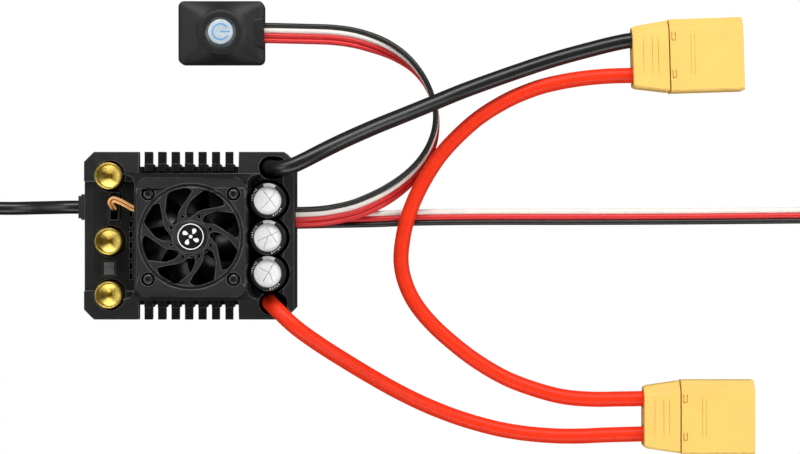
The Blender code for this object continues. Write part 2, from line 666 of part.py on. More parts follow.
# ---------------------------------------------------------------- fan
def fan_screw_places():
    reach = FAN_SCREW_PITCH / 2
    return [(FAN_X + sx * reach, FAN_Y + sy * reach)
            for sx, sy in ((-1, 1), (1, 1), (1, -1), (-1, -1))]


def make_fan_frame():
    low, high = FAN_FRAME_Z
    square = rounded_rectangle(FAN_X, FAN_Y, FAN_HALF, FAN_HALF, 2.5, 3)
    holes = [circle(FAN_X, FAN_Y, FAN_BORE, 40)]
    frame = add_part("fan_frame", outline_mesh([square] + holes, low, high), "blade_plastic")
    for angle in (30, 150, 270):
        strut = box_mesh((4.0, -1.0, low), (FAN_BORE + 0.4, 1.0, low + 1.0))
        strut.transform(Matrix.Translation((FAN_X * MM, FAN_Y * MM, 0.0))
                        @ Matrix.Rotation(radians(angle), 4, 'Z'))
        join(frame, strut)
    hub = [(0.0, low + 1.0), (1.85, low + 1.0), (1.85, 31.8), (2.3, 31.8), (2.3, low + 1.0),
           (6.0, low + 1.0), (6.0, low), (0.0, low)]
    join(frame, turned_mesh(hub, FAN_X, FAN_Y, 24))
    for x, y in fan_screw_places():
        cut(frame, cylinder_mesh(x, y, SCREW_BORE, low - 1, high + 1, 12))


def swirl_opening(turn):
    """One of the guard's openings, as polar points swept back around the hub."""
    outline = [(13.8, 118.0), (13.8, 112.0), (13.8, 105.0), (13.8, 98.0), (13.6, 92.5),
               (12.9, 88.0), (11.2, 93.0), (9.7, 100.0), (8.6, 108.0), (7.6, 117.0),
               (6.5, 124.0), (5.8, 129.5), (5.3, 137.0), (5.6, 145.5), (6.8, 146.5),
               (8.0, 143.0), (10.0, 135.8), (12.3, 124.0), (13.3, 120.2)]
    return [(FAN_X + r * cos(radians(a + turn)), FAN_Y + r * sin(radians(a + turn)))
            for r, a in outline]


def make_guard():
    low, high = GUARD_Z
    plate = rounded_rectangle(*GUARD_CENTRE, *GUARD_HALF, 3.0, 4)
    openings = [swirl_opening(i * 360 / GUARD_OPENINGS) for i in range(GUARD_OPENINGS)]
    guard = add_part("fan_guard", outline_mesh([plate] + openings, low, high), "case_plastic")
    edge_bevel_outside(guard, high, 0.7)
    groove = [(13.95, high + 0.5), (15.0, high + 0.5), (15.0, high - 0.6), (13.95, high - 0.6)]
    cut(guard, turned_mesh(groove, FAN_X, FAN_Y, 40, closed=True))
    cut(guard, cylinder_mesh(FAN_X, FAN_Y, BADGE_RADIUS + GAP, high - 0.5, high + 1, 32))
    for x, y in fan_screw_places():
        cut(guard, cylinder_mesh(x, y, SCREW_HEAD_RADIUS + 0.38, high - 1.6, high + 1, 16))
        cut(guard, cylinder_mesh(x, y, SCREW_BORE, low - 1, high + 1, 12))
    add_part("fan_hub_badge", cylinder_mesh(FAN_X, FAN_Y, BADGE_RADIUS, high - 0.2, high, 32),
             "badge_film")


def edge_bevel_outside(obj, height, width):
    """Bevel the top edges along the plate's outer boundary only."""
    edge_bevel(obj, height, width)
    mesh = obj.data
    weights = mesh.attributes["bevel_weight_edge"]
    for edge in mesh.edges:
        middle = sum((mesh.vertices[v].co for v in edge.vertices), Vector()) / 2 / MM
        if hypot(middle.x - FAN_X, middle.y - FAN_Y) < FAN_BORE + 0.6:
            weights.data[edge.index].value = 0.0


def make_rotor():
    hub = [(0.0, HUB_TOP), (5.9, HUB_TOP), (HUB_RADIUS, HUB_TOP - 0.7), (HUB_RADIUS, 29.6),
           (6.1, 29.6), (6.1, 32.6), (0.0, 32.6)]
    rotor = add_part("fan_rotor", turned_mesh(hub, FAN_X, FAN_Y, 28), "blade_plastic")
    for i in range(ROTOR_BLADES):
        join(rotor, blade_mesh(i * 360 / ROTOR_BLADES))
    shaft = [(0.0, 32.3), (0.75, 32.3), (0.75, 28.9), (0.0, 28.9)]
    add_part("fan_shaft", turned_mesh(shaft, FAN_X, FAN_Y, 12), "steel")
    magnet = [(5.3, 32.2), (5.8, 32.2), (5.8, 29.7), (5.3, 29.7)]
    add_part("fan_magnet_ring", turned_mesh(magnet, FAN_X, FAN_Y, 24, closed=True), "ferrite")
    stator = [(2.6, 31.4), (4.9, 31.4), (4.9, 29.2), (2.6, 29.2)]
    add_part("fan_stator", turned_mesh(stator, FAN_X, FAN_Y, 24, closed=True), "copper_winding")
    bearing = [(1.0, 31.6), (1.6, 31.6), (1.6, 28.8), (1.0, 28.8)]
    add_part("fan_bearing", turned_mesh(bearing, FAN_X, FAN_Y, 16, closed=True), "bronze")


def blade_mesh(turn):
    """A swept blade, pitched between its leading edge (high) and trailing edge (low)."""
    rings = []
    stations = 5
    for i in range(stations):
        share = i / (stations - 1)
        radius = HUB_RADIUS - 0.25 + (BLADE_TIP - HUB_RADIUS + 0.25) * share
        chord = 44.0 - 6.0 * share          # degrees covered by the blade
        lead = turn + 20.0 * share
        ring = []
        for angle, z in ((lead, 32.9), (lead - chord, 29.4), (lead - chord, 28.9), (lead, 32.3)):
            ring.append((radius * cos(radians(angle)) + FAN_X,
                         radius * sin(radians(angle)) + FAN_Y, z))
        rings.append(ring)
    return loft_mesh(rings)


def make_fan_screws():
    for i, (x, y) in enumerate(fan_screw_places()):
        top = GUARD_Z[1] - 0.4
        head, shank = SCREW_HEAD_RADIUS, SCREW_SHANK_RADIUS
        profile = [(0.0, top - 0.7), (0.75, top - 0.7), (0.75, top), (1.2, top),
                   (head, top - 0.4), (head, top - 0.9), (shank, top - 0.9), (shank, 28.4),
                   (0.0, 28.4)]
        add_part(f"fan_screw_{i + 1}", turned_mesh(profile, x, y, 12), "steel")


def make_fan_wiring():
    x, y = FAN_SOCKET_CENTRE
    width, depth = FAN_SOCKET_SIZE
    low, high = CONTROL_BOARD_Z[1] + GAP, 22.2
    socket = add_part("fan_socket", centred_box(x, y, width, depth, low, high), "chip_package")
    cut(socket, centred_box(x, y, width - 1.0, depth - 1.0, low + 1.0, high + 1))
    add_part("fan_plug", centred_box(x, y + 1.0, width - 1.6, 4.6, low + 1.4, 22.9),
             "chip_package")
    for i, side in enumerate((-0.5, 0.5)):
        route = [(x + dx + side * ox, y + dy + side * oy, z)
                 for dx, dy, z, ox, oy in FAN_WIRE_ROUTE]
        add_part(f"fan_wire_{i + 1}", tube_mesh(route, FAN_WIRE, 1.4), "orange_wire")


# ---------------------------------------------------------------- sockets, capacitors, window
def make_sockets():
    for name, y in zip("abc", SOCKET_YS):
        low = POWER_BOARD_Z[1] + GAP
        profile = [(0.0, 8.2), (SOCKET_BORE, 10.2), (SOCKET_BORE, SOCKET_TOP - 0.4),
                   (SOCKET_BORE + 0.3, SOCKET_TOP), (SOCKET_RADIUS - 0.1, SOCKET_TOP),
                   (SOCKET_RADIUS, SOCKET_TOP - 0.2), (SOCKET_RADIUS, low), (0.0, low)]
        add_part(f"bullet_socket_{name}", turned_mesh(profile, SOCKET_X, y, 24), "gold_plate")


def make_capacitors():
    low = POWER_BOARD_Z[1] + GAP
    for i, y in enumerate(CAPACITOR_YS):
        radius = CAPACITOR_RADIUS
        can = [(0.0, CAPACITOR_TOP - 0.7), (radius - 0.6, CAPACITOR_TOP - 0.7),
               (radius - 0.6, low), (0.0, low)]
        sleeve = [(3.85, CAPACITOR_TOP), (radius - 0.4, CAPACITOR_TOP),
                  (radius, CAPACITOR_TOP - 0.4), (radius, low + 1.0), (radius - 0.35, low + 1.0),
                  (radius - 0.35, CAPACITOR_TOP - 0.4), (3.85, CAPACITOR_TOP - 0.4)]
        add_part(f"capacitor_can_{i + 1}", turned_mesh(can, CAPACITOR_X, y, 24),
                 "capacitor_aluminium")
        add_part(f"capacitor_sleeve_{i + 1}",
                 turned_mesh(sleeve, CAPACITOR_X, y, 24, closed=True), "sleeve_film")


def make_led_window():
    add_part("led_window", centred_box(*LED_CENTRE, *LED_SIZE, 17.0, LEFT_PANEL_Z + 0.1),
             "smoked_window")


# ---------------------------------------------------------------- grommet, gland, leads
def lying_cylinder(y, z, radius, x_low, x_high, sides=16):
    points = circle(y, z, radius, sides)
    return outline_mesh([points], x_low, x_high, 'X')


def make_grommet():
    x = -CASE_HALF_LENGTH
    y, z = GROMMET_Y, GROMMET_Z
    half_y, half_z = GROMMET_HALF_Y, GROMMET_HALF_Z
    flange = box_mesh((x - 2.0, y - 3.75, z - 4.0), (x - GAP, y + 3.75, z + 4.0))
    lip = box_mesh((x - 2.9, y - 3.3, z - 3.5), (x - 1.9, y + 3.3, z + 3.5))
    grommet = add_part("sensor_grommet", flange, "rubber")
    join(grommet, lip,
         box_mesh((x - GAP - 0.2, y - half_y, z - half_z), (x + 2.4, y + half_y, z + half_z)))
    cut(grommet, lying_cylinder(y, z, SENSOR_CABLE / 2 + GAP, x - 4, x + 4))


def make_gland():
    y, z = GLAND_Y, GLAND_Z
    low = (28.0, y - GLAND_HALF_Y, z - GLAND_HALF_Z)
    high = (CASE_HALF_LENGTH - 0.3, y + GLAND_HALF_Y, z + GLAND_HALF_Z)
    gland = add_part("lead_gland", box_mesh(low, high), "rubber")
    cut(gland, box_mesh((27.0, 1.6, 5.2), (32.0, 7.2, 7.45)))
    cut(gland, box_mesh((27.0, 2.0, 7.95), (32.0, 8.8, 10.6)))


def make_sensor_cable():
    add_part("sensor_cable", tube_mesh(SENSOR_ROUTE, SENSOR_CABLE, 7.0), "black_silicone")
    ring = [(COIL_INNER, 4.1), (COIL_OUTER - 0.9, 4.1), (COIL_OUTER, 3.2),
            (COIL_OUTER, 1.0), (COIL_OUTER - 0.9, 0.1), (COIL_INNER, 0.1)]
    add_part("sensor_coil", turned_mesh(ring, *COIL_CENTRE, 32, closed=True), "black_silicone")
    x, y = SENSOR_PLUG_CENTRE
    plug = add_part("sensor_plug", box_mesh((x - 3.2, y - 5.2, 0.1), (x + 3.2, y + 5.2, 4.1)),
                    "chip_package")
    for i in range(6):
        place = y - 3.75 + i * 1.5
        cut(plug, box_mesh((x - 4, place - 0.45, 1.5), (x - 1, place + 0.45, 2.7)))


def make_receiver_lead():
    add_part("receiver_lead", ribbon_mesh(RECEIVER_ROUTE, RECEIVER_WIDTH, RECEIVER_THICKNESS, 6.0),
             "lead_insulation")
    x, y = RECEIVER_PLUG_START
    plug = add_part("receiver_plug", box_mesh((x, y - 3.85, 0.1), (x + 14.0, y + 3.85, 2.8)),
                    "chip_package")
    for i in range(3):
        place = y + (i - 1) * PLUG_PITCH
        cut(plug, box_mesh((x + 8, place - 0.5, 0.95), (x + 15, place + 0.5, 1.95)))


def make_power_cables():
    add_part("battery_cable_negative", tube_mesh(BLACK_ROUTE, BATTERY_WIRE, 7.5), "black_silicone")
    add_part("battery_cable_positive", tube_mesh(RED_ROUTE, BATTERY_WIRE, 7.5), "red_silicone")
    add_part("series_cable", tube_mesh(SERIES_ROUTE, BATTERY_WIRE, 7.5), "red_silicone")
    add_part("switch_lead", ribbon_mesh(SWITCH_LEAD_ROUTE, SWITCH_LEAD_WIDTH,
                                        SWITCH_LEAD_THICKNESS, 4.0), "lead_insulation")


# ---------------------------------------------------------------- battery connectors
def connector_section(inset=0.0, share=1.0):
    """The connector's end view: a rectangle with two chamfers on its positive side."""
    half_w = (CONNECTOR_WIDTH / 2 - inset) * share
    half_h = CONNECTOR_HEIGHT / 2 - inset
    chamfer = CONNECTOR_CHAMFER - inset * 0.586
    return [(half_w, -half_h + chamfer), (half_w, half_h - chamfer), (half_w - chamfer, half_h),
            (0.6 - half_w, half_h), (-half_w, half_h - 0.6), (-half_w, 0.6 - half_h),
            (0.6 - half_w, -half_h), (half_w - chamfer, -half_h)]


def make_connector(name, x, y, heading):
    """A shrouded two-pin battery connector with the cap that covers its solder joints."""
    rear, front = -CONNECTOR_LENGTH / 2, CONNECTOR_LENGTH / 2
    joint = rear + CONNECTOR_CAP
    pins = (PIN_PITCH / 2, -PIN_PITCH / 2)
    housing = outline_mesh([connector_section()], joint + GAP, front, 'X')
    cavity = outline_mesh([connector_section(CONNECTOR_WALL)], joint + 7.0, front + 1, 'X')
    bores = [lying_cylinder(pin, 0.0, PIN_RADIUS + GAP, joint - 1, front, 16) for pin in pins]
    cap_rings = []
    for place, share, inset in ((rear, 0.86, 0.7), (rear + 1.0, 0.88, 0.4), (joint, 0.99, 0.15)):
        cap_rings.append([(place, u, v) for u, v in connector_section(inset, share)])
    cap = loft_mesh(cap_rings)
    holes = [lying_cylinder(pin, 0.0, CAP_BORE, rear - 1, joint + 1, 16) for pin in pins]
    pin_meshes = []
    for pin in pins:
        profile = [(0.0, 0.0), (PIN_RADIUS - 0.6, 0.0), (PIN_RADIUS, -0.8),
                   (PIN_RADIUS, joint - 6.0 - front + 2.0), (0.0, joint - 6.0 - front + 2.0)]
        mesh = turned_mesh(profile, 0.0, 0.0, 16)
        mesh.transform(Matrix.Translation(((front - 2.0) * MM, pin * MM, 0.0))
                       @ Matrix.Rotation(radians(90), 4, 'Y'))
        pin_meshes.append(mesh)
    place = (Matrix.Translation((x * MM, y * MM, CONNECTOR_HEIGHT / 2 * MM))
             @ Matrix.Rotation(radians(heading), 4, 'Z'))
    for mesh in [housing, cavity, cap, *bores, *holes, *pin_meshes]:
        mesh.transform(place)
    cut(add_part(f"connector_{name}_housing", housing, "yellow_nylon"), cavity, *bores)
    cut(add_part(f"connector_{name}_cap", cap, "yellow_nylon"), *holes)
    for i, mesh in enumerate(pin_meshes):
        add_part(f"connector_{name}_pin_{i + 1}", mesh, "gold_plate")


# ---------------------------------------------------------------- power switch
def make_switch():
    x, y = SWITCH_CENTRE
    half_x, half_y = SWITCH_HALF
    bx, by = BUTTON_CENTRE
    corners = rounded_rectangle(x, y, half_x, half_y, SWITCH_CORNER, 3)
    plan = []
    for (ax, ay), (cx, cy) in zip(corners, corners[1:] + corners[:1]):
        pieces = max(1, round(hypot(cx - ax, cy - ay) / 3.0))
        plan += [(ax + (cx - ax) * k / pieces, ay + (cy - ay) * k / pieces) for k in range(pieces)]
    boss = []
    for px, py in plan:
        angle = atan2(py - by, px - bx)
        boss.append((bx + BOSS_RADIUS * cos(angle), by + BOSS_RADIUS * sin(angle)))
    rings = [[(px, py, SWITCH_SEAM) for px, py in plan],
             [(px, py, SWITCH_SHOULDER - 0.5) for px, py in plan],
             [(x + (px - x) * 0.96, y + (py - y) * 0.96, SWITCH_SHOULDER) for px, py in plan],
             [(px, py, SWITCH_TOP - 0.4) for px, py in boss],
             [(bx + (px - bx) * 0.95, by + (py - by) * 0.95, SWITCH_TOP) for px, py in boss]]
    case = add_part("switch_case", loft_mesh(rings), "case_plastic")
    inner = rounded_rectangle(x, y, half_x - SWITCH_WALL, half_y - SWITCH_WALL, 0.8, 2)
    cut(case, outline_mesh([inner], 1.0, 6.2))
    cut(case, cylinder_mesh(bx, by, BUTTON_FLANGE + 0.4, 5.0, 8.5, 24))
    cut(case, cylinder_mesh(bx, by, BUTTON_BORE, 5.0, 12.0, 24))
    cut(case, box_mesh((x + half_x - 2, y - 3.35, 3.95), (x + half_x + 1, y + 3.35, 6.05)))
    add_part("switch_base", outline_mesh([plan], 0.0, SWITCH_SEAM - GAP), "case_plastic")
    add_part("switch_board", box_mesh((x - 10.6, y - 7.2, 1.9), (x + 8.6, y + 7.2, 3.1)),
             "circuit_board")
    add_part("tact_switch", turned_plunger(bx, by), "chip_package")
    button = [(0.0, 10.3), (BUTTON_RADIUS - 0.4, 10.3), (BUTTON_RADIUS, 9.9), (BUTTON_RADIUS, 8.2),
              (BUTTON_FLANGE, 8.2), (BUTTON_FLANGE, 7.3), (0.0, 7.3)]
    mesh = turned_mesh(button, 0.0, 0.0, 24)
    piece = add_part("switch_button", mesh, "button_resin")
    piece.location = (bx * MM, by * MM, 0.0)


def turned_plunger(x, y):
    """The tact switch: a square body with a round plunger on top."""
    body = bpy.data.objects.new("tact", box_mesh((x - 3.0, y - 3.0, 3.4), (x + 3.0, y + 3.0, 5.6)))
    CUTTERS.objects.link(body)
    join(body, cylinder_mesh(x, y, 1.7, 5.0, 6.3, 16))
    return baked(body)


def main():
    make_tray()
    make_cover()
    make_heat_sink()
    make_boards()
    make_fan_frame()
    make_guard()
    make_rotor()
    make_fan_screws()
    make_fan_wiring()
    make_sockets()
    make_capacitors()
    make_led_window()
    make_grommet()
    make_gland()
    make_sensor_cable()
    make_receiver_lead()
    make_power_cables()
    for name, (x, y, heading) in CONNECTORS.items():
        make_connector(name, x, y, heading)
    make_switch()


main()
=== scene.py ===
from math import acos, cos, hypot, pi, radians, sin

import bmesh
import bpy
from mathutils import Matrix, Vector
from mathutils.bvhtree import BVHTree


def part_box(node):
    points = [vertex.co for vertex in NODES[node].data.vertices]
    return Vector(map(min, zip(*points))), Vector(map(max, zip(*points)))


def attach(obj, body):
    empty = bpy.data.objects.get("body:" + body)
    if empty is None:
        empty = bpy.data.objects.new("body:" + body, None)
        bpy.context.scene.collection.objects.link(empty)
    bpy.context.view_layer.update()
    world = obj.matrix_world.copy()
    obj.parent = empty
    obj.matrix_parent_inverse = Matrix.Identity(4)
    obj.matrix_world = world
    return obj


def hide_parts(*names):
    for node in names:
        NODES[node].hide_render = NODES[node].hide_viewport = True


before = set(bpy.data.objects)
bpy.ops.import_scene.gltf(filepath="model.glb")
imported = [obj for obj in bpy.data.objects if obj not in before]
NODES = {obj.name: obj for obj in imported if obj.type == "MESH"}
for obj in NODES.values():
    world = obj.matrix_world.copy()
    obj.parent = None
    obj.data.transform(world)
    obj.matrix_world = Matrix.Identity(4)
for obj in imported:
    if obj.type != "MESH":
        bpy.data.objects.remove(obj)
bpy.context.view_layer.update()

MM = 0.001

# ---------------------------------------------------------------- cable routes, mm
BATTERY_WIRE = 4.5
SENSOR_CABLE = 3.9
FAN_WIRE = 0.8
NEGATIVE_ROUTE = [
    (22.6, 19.9, 8.0), (22.6, 19.9, 14.0), (22.7, 19.8, 19.0), (23.6, 19.5, 23.2),
    (25.8, 19.2, 26.3), (29.0, 19.6, 27.9), (32.8, 21.2, 28.1), (38.5, 24.2, 26.4),
    (44.8, 27.4, 23.6), (53.4, 31.4, 19.4), (62.1, 35.1, 15.4), (70.8, 38.8, 12.0),
    (79.6, 42.5, 9.3), (92.9, 47.4, 7.0), (106.0, 51.8, 5.8), (118.0, 55.1, 5.5),
    (124.6, 56.7, 5.5), (128.6, 57.4, 5.5), (132.2, 57.6, 5.5),
]
POSITIVE_ROUTE = [
    (22.6, -18.6, 8.0), (22.6, -18.6, 14.0), (22.8, -18.8, 19.0), (23.7, -19.6, 23.2),
    (25.8, -21.4, 26.3), (29.0, -24.4, 27.9), (32.6, -27.4, 27.6), (38.5, -31.7, 25.0),
    (45.3, -36.3, 20.6), (52.2, -40.8, 15.8), (59.1, -45.0, 11.4), (66.2, -48.8, 7.8),
    (73.3, -52.0, 5.2), (80.4, -54.6, 3.6), (89.0, -57.0, 2.7), (97.0, -58.4, 2.7),
    (105.5, -59.1, 3.4), (113.0, -59.1, 4.6), (121.0, -58.7, 5.4), (131.7, -58.4, 5.5),
    (135.6, -58.4, 5.5),
]
SERIES_ROUTE = [
    (132.7, 47.2, 5.5), (128.9, 47.1, 5.5), (121.8, 46.9, 5.4), (114.8, 46.3, 4.9),
    (107.8, 45.2, 4.3), (100.7, 43.4, 4.0), (92.5, 40.0, 3.9), (84.4, 35.1, 3.9),
    (77.9, 29.5, 4.0), (72.5, 23.6, 4.3), (68.3, 17.3, 4.5), (65.2, 11.3, 4.5),
    (62.8, 5.0, 4.5), (61.4, -1.2, 4.0), (60.9, -7.5, 3.1), (62.0, -13.5, 2.6),
    (64.8, -19.6, 2.5), (69.5, -25.6, 2.5), (75.6, -31.3, 2.5), (83.0, -37.0, 2.5),
    (91.5, -42.0, 2.6), (100.0, -45.3, 2.9), (108.5, -47.5, 3.9), (117.0, -48.2, 5.0),
    (125.0, -48.1, 5.5), (131.7, -48.0, 5.5), (135.6, -48.0, 5.5),
]
SENSOR_ROUTE = [
    (-27.2, 8.3, 9.1), (-31.8, 8.3, 9.1), (-36.5, 8.3, 8.7), (-42.0, 8.2, 6.6),
    (-48.0, 8.1, 3.8), (-54.0, 8.0, 2.3), (-62.0, 8.1, 2.1), (-70.2, 8.2, 2.1),
]
RECEIVER_ROUTE = [
    (28.5, 4.4, 6.3), (31.5, 4.4, 6.1), (35.5, 4.5, 4.6), (40.0, 4.6, 2.4),
    (46.0, 4.7, 1.1), (54.7, 4.9, 0.9), (66.0, 5.3, 0.9), (85.0, 5.5, 0.9),
    (112.0, 5.5, 0.9), (140.0, 5.6, 0.9), (166.0, 5.8, 0.9), (186.0, 6.0, 0.9),
    (203.0, 6.1, 1.2), (208.7, 6.1, 1.5),
]
# The last value is the lead's turn about its own axis, degrees from lying flat.
SWITCH_LEAD_ROUTE = [
    (18.9, 59.6, 5.0, 0.0), (22.5, 59.6, 5.0, 0.0), (27.5, 59.6, 3.6, 0.0),
    (34.0, 59.6, 1.6, 0.0), (40.5, 59.4, 1.1, -4.0), (46.5, 58.6, 1.35, -10.0),
    (52.0, 57.1, 1.8, -22.0), (57.0, 55.1, 2.4, -40.0), (61.5, 52.4, 2.85, -58.0),
    (65.3, 49.0, 3.05, -74.0), (68.2, 45.0, 3.1, -84.0), (70.2, 40.6, 3.1, -90.0),
    (71.2, 36.0, 3.1, -94.0), (71.1, 31.4, 3.1, -100.0), (70.0, 26.9, 3.0, -110.0),
    (67.9, 22.5, 2.8, -121.0), (64.8, 18.5, 2.5, -132.0), (60.8, 14.9, 2.2, -144.0),
    (56.4, 11.9, 2.1, -156.0), (52.0, 9.6, 2.8, -168.0), (47.4, 7.7, 3.2, -177.0),
    (42.6, 6.5, 4.1, -180.0), (37.6, 5.7, 6.2, -180.0), (32.5, 5.4, 9.0, -180.0),
    (28.5, 5.4, 9.3, -180.0),
]
# Fan wires: offset from the fan socket, height, and the direction the pair spreads in.
FAN_WIRE_ROUTE = [
    (0.0, -0.6, 23.2, -1.0, 0.0), (-0.3, 0.1, 24.5, -1.0, -0.2), (-0.7, 1.0, 25.4, -1.0, 0.3),
    (0.1, 1.9, 25.9, -0.4, 1.0), (2.0, 1.4, 26.0, 0.2, 1.0), (3.8, 0.5, 25.9, 0.35, 0.9),
    (5.6, -0.5, 25.8, 0.4, 0.9), (7.4, -0.9, 25.8, 0.1, 1.0),
]

# ---------------------------------------------------------------- places from the frame, mm
COIL_CENTRE = (-84.8, -16.3)
COIL_START_RADIUS = 24.5
COIL_PITCH = 4.2
COIL_TURNS = 1.75
COIL_Z = 2.1
CONNECTORS = {"upper": (144.9, 52.8, 1.8), "lower": (148.2, -53.2, 0.0)}
CONNECTOR_HALF_HEIGHT = 5.5
TIE_REACH = (16.9, 25.9)        # inner and outer radius of the tie round the coil
BLADES = 7
BLADE_TIP = 13.6
HUB_RADIUS = 6.6
GUARD_HOLES = 8
CAN_RADIUS = 4.5
SLEEVE_RADIUS = 5.1
SOCKET_RADIUS = 3.87
SWITCH_CORNER = 1.7
SWITCH_WALL = 1.4
BOSS_TOP = 10.0
BUTTON_HOLE = 4.5
BUTTON_RADIUS = 3.7
BUTTON_FLANGE = 4.8
STAGE_X = 0.06                  # middle of the floor and the lights, m


def middle(node):
    """The centre of a node's box and its top, mm."""
    low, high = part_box(node)
    return (low.x + high.x) / 2 / MM, (low.y + high.y) / 2 / MM, high.z / MM


# ---------------------------------------------------------------- materials
def tint(colour, factor):
    return (*(min(1.0, c * factor) for c in colour), 1.0)


def finish(name, colour, roughness, metallic=0.0, mottle=0.15, mottle_scale=350.0,
           grain=0.2, grain_scale=2600.0, grain_depth=0.00004, spread=0.08,
           stretch=(1.0, 1.0, 1.0), coat=0.0, specular=0.5):
    """A material with mottled colour, uneven roughness and a fine surface grain."""
    material = bpy.data.materials.new(name)
    material.use_nodes = True
    nodes, links = material.node_tree.nodes, material.node_tree.links
    shader = nodes["Principled BSDF"]
    shader.inputs["Metallic"].default_value = metallic
    shader.inputs["Coat Weight"].default_value = coat
    shader.inputs["Coat Roughness"].default_value = 0.25
    shader.inputs["Specular IOR Level"].default_value = specular
    place = nodes.new("ShaderNodeTexCoord")
    scaled = nodes.new("ShaderNodeMapping")
    scaled.inputs["Scale"].default_value = stretch
    links.new(place.outputs["Object"], scaled.inputs["Vector"])

    def noise(scale, detail, rough=0.6):
        node = nodes.new("ShaderNodeTexNoise")
        node.inputs["Scale"].default_value = scale
        node.inputs["Detail"].default_value = detail
        node.inputs["Roughness"].default_value = rough
        links.new(scaled.outputs["Vector"], node.inputs["Vector"])
        return node.outputs["Fac"]

    ramp = nodes.new("ShaderNodeValToRGB")
    ramp.color_ramp.elements[0].position = 0.3
    ramp.color_ramp.elements[1].position = 0.7
    ramp.color_ramp.elements[0].color = tint(colour, 1.0 - mottle)
    ramp.color_ramp.elements[1].color = tint(colour, 1.0 + mottle)
    links.new(noise(mottle_scale, 6.0), ramp.inputs["Fac"])
    links.new(ramp.outputs["Color"], shader.inputs["Base Color"])
    uneven = nodes.new("ShaderNodeMapRange")
    uneven.inputs["To Min"].default_value = max(0.02, roughness - spread)
    uneven.inputs["To Max"].default_value = min(1.0, roughness + spread)
    links.new(noise(mottle_scale * 2.3, 4.0), uneven.inputs["Value"])
    links.new(uneven.outputs["Result"], shader.inputs["Roughness"])
    bump = nodes.new("ShaderNodeBump")
    bump.inputs["Strength"].default_value = grain
    bump.inputs["Distance"].default_value = grain_depth
    links.new(noise(grain_scale, 5.0), bump.inputs["Height"])
    links.new(bump.outputs["Normal"], shader.inputs["Normal"])
    return material


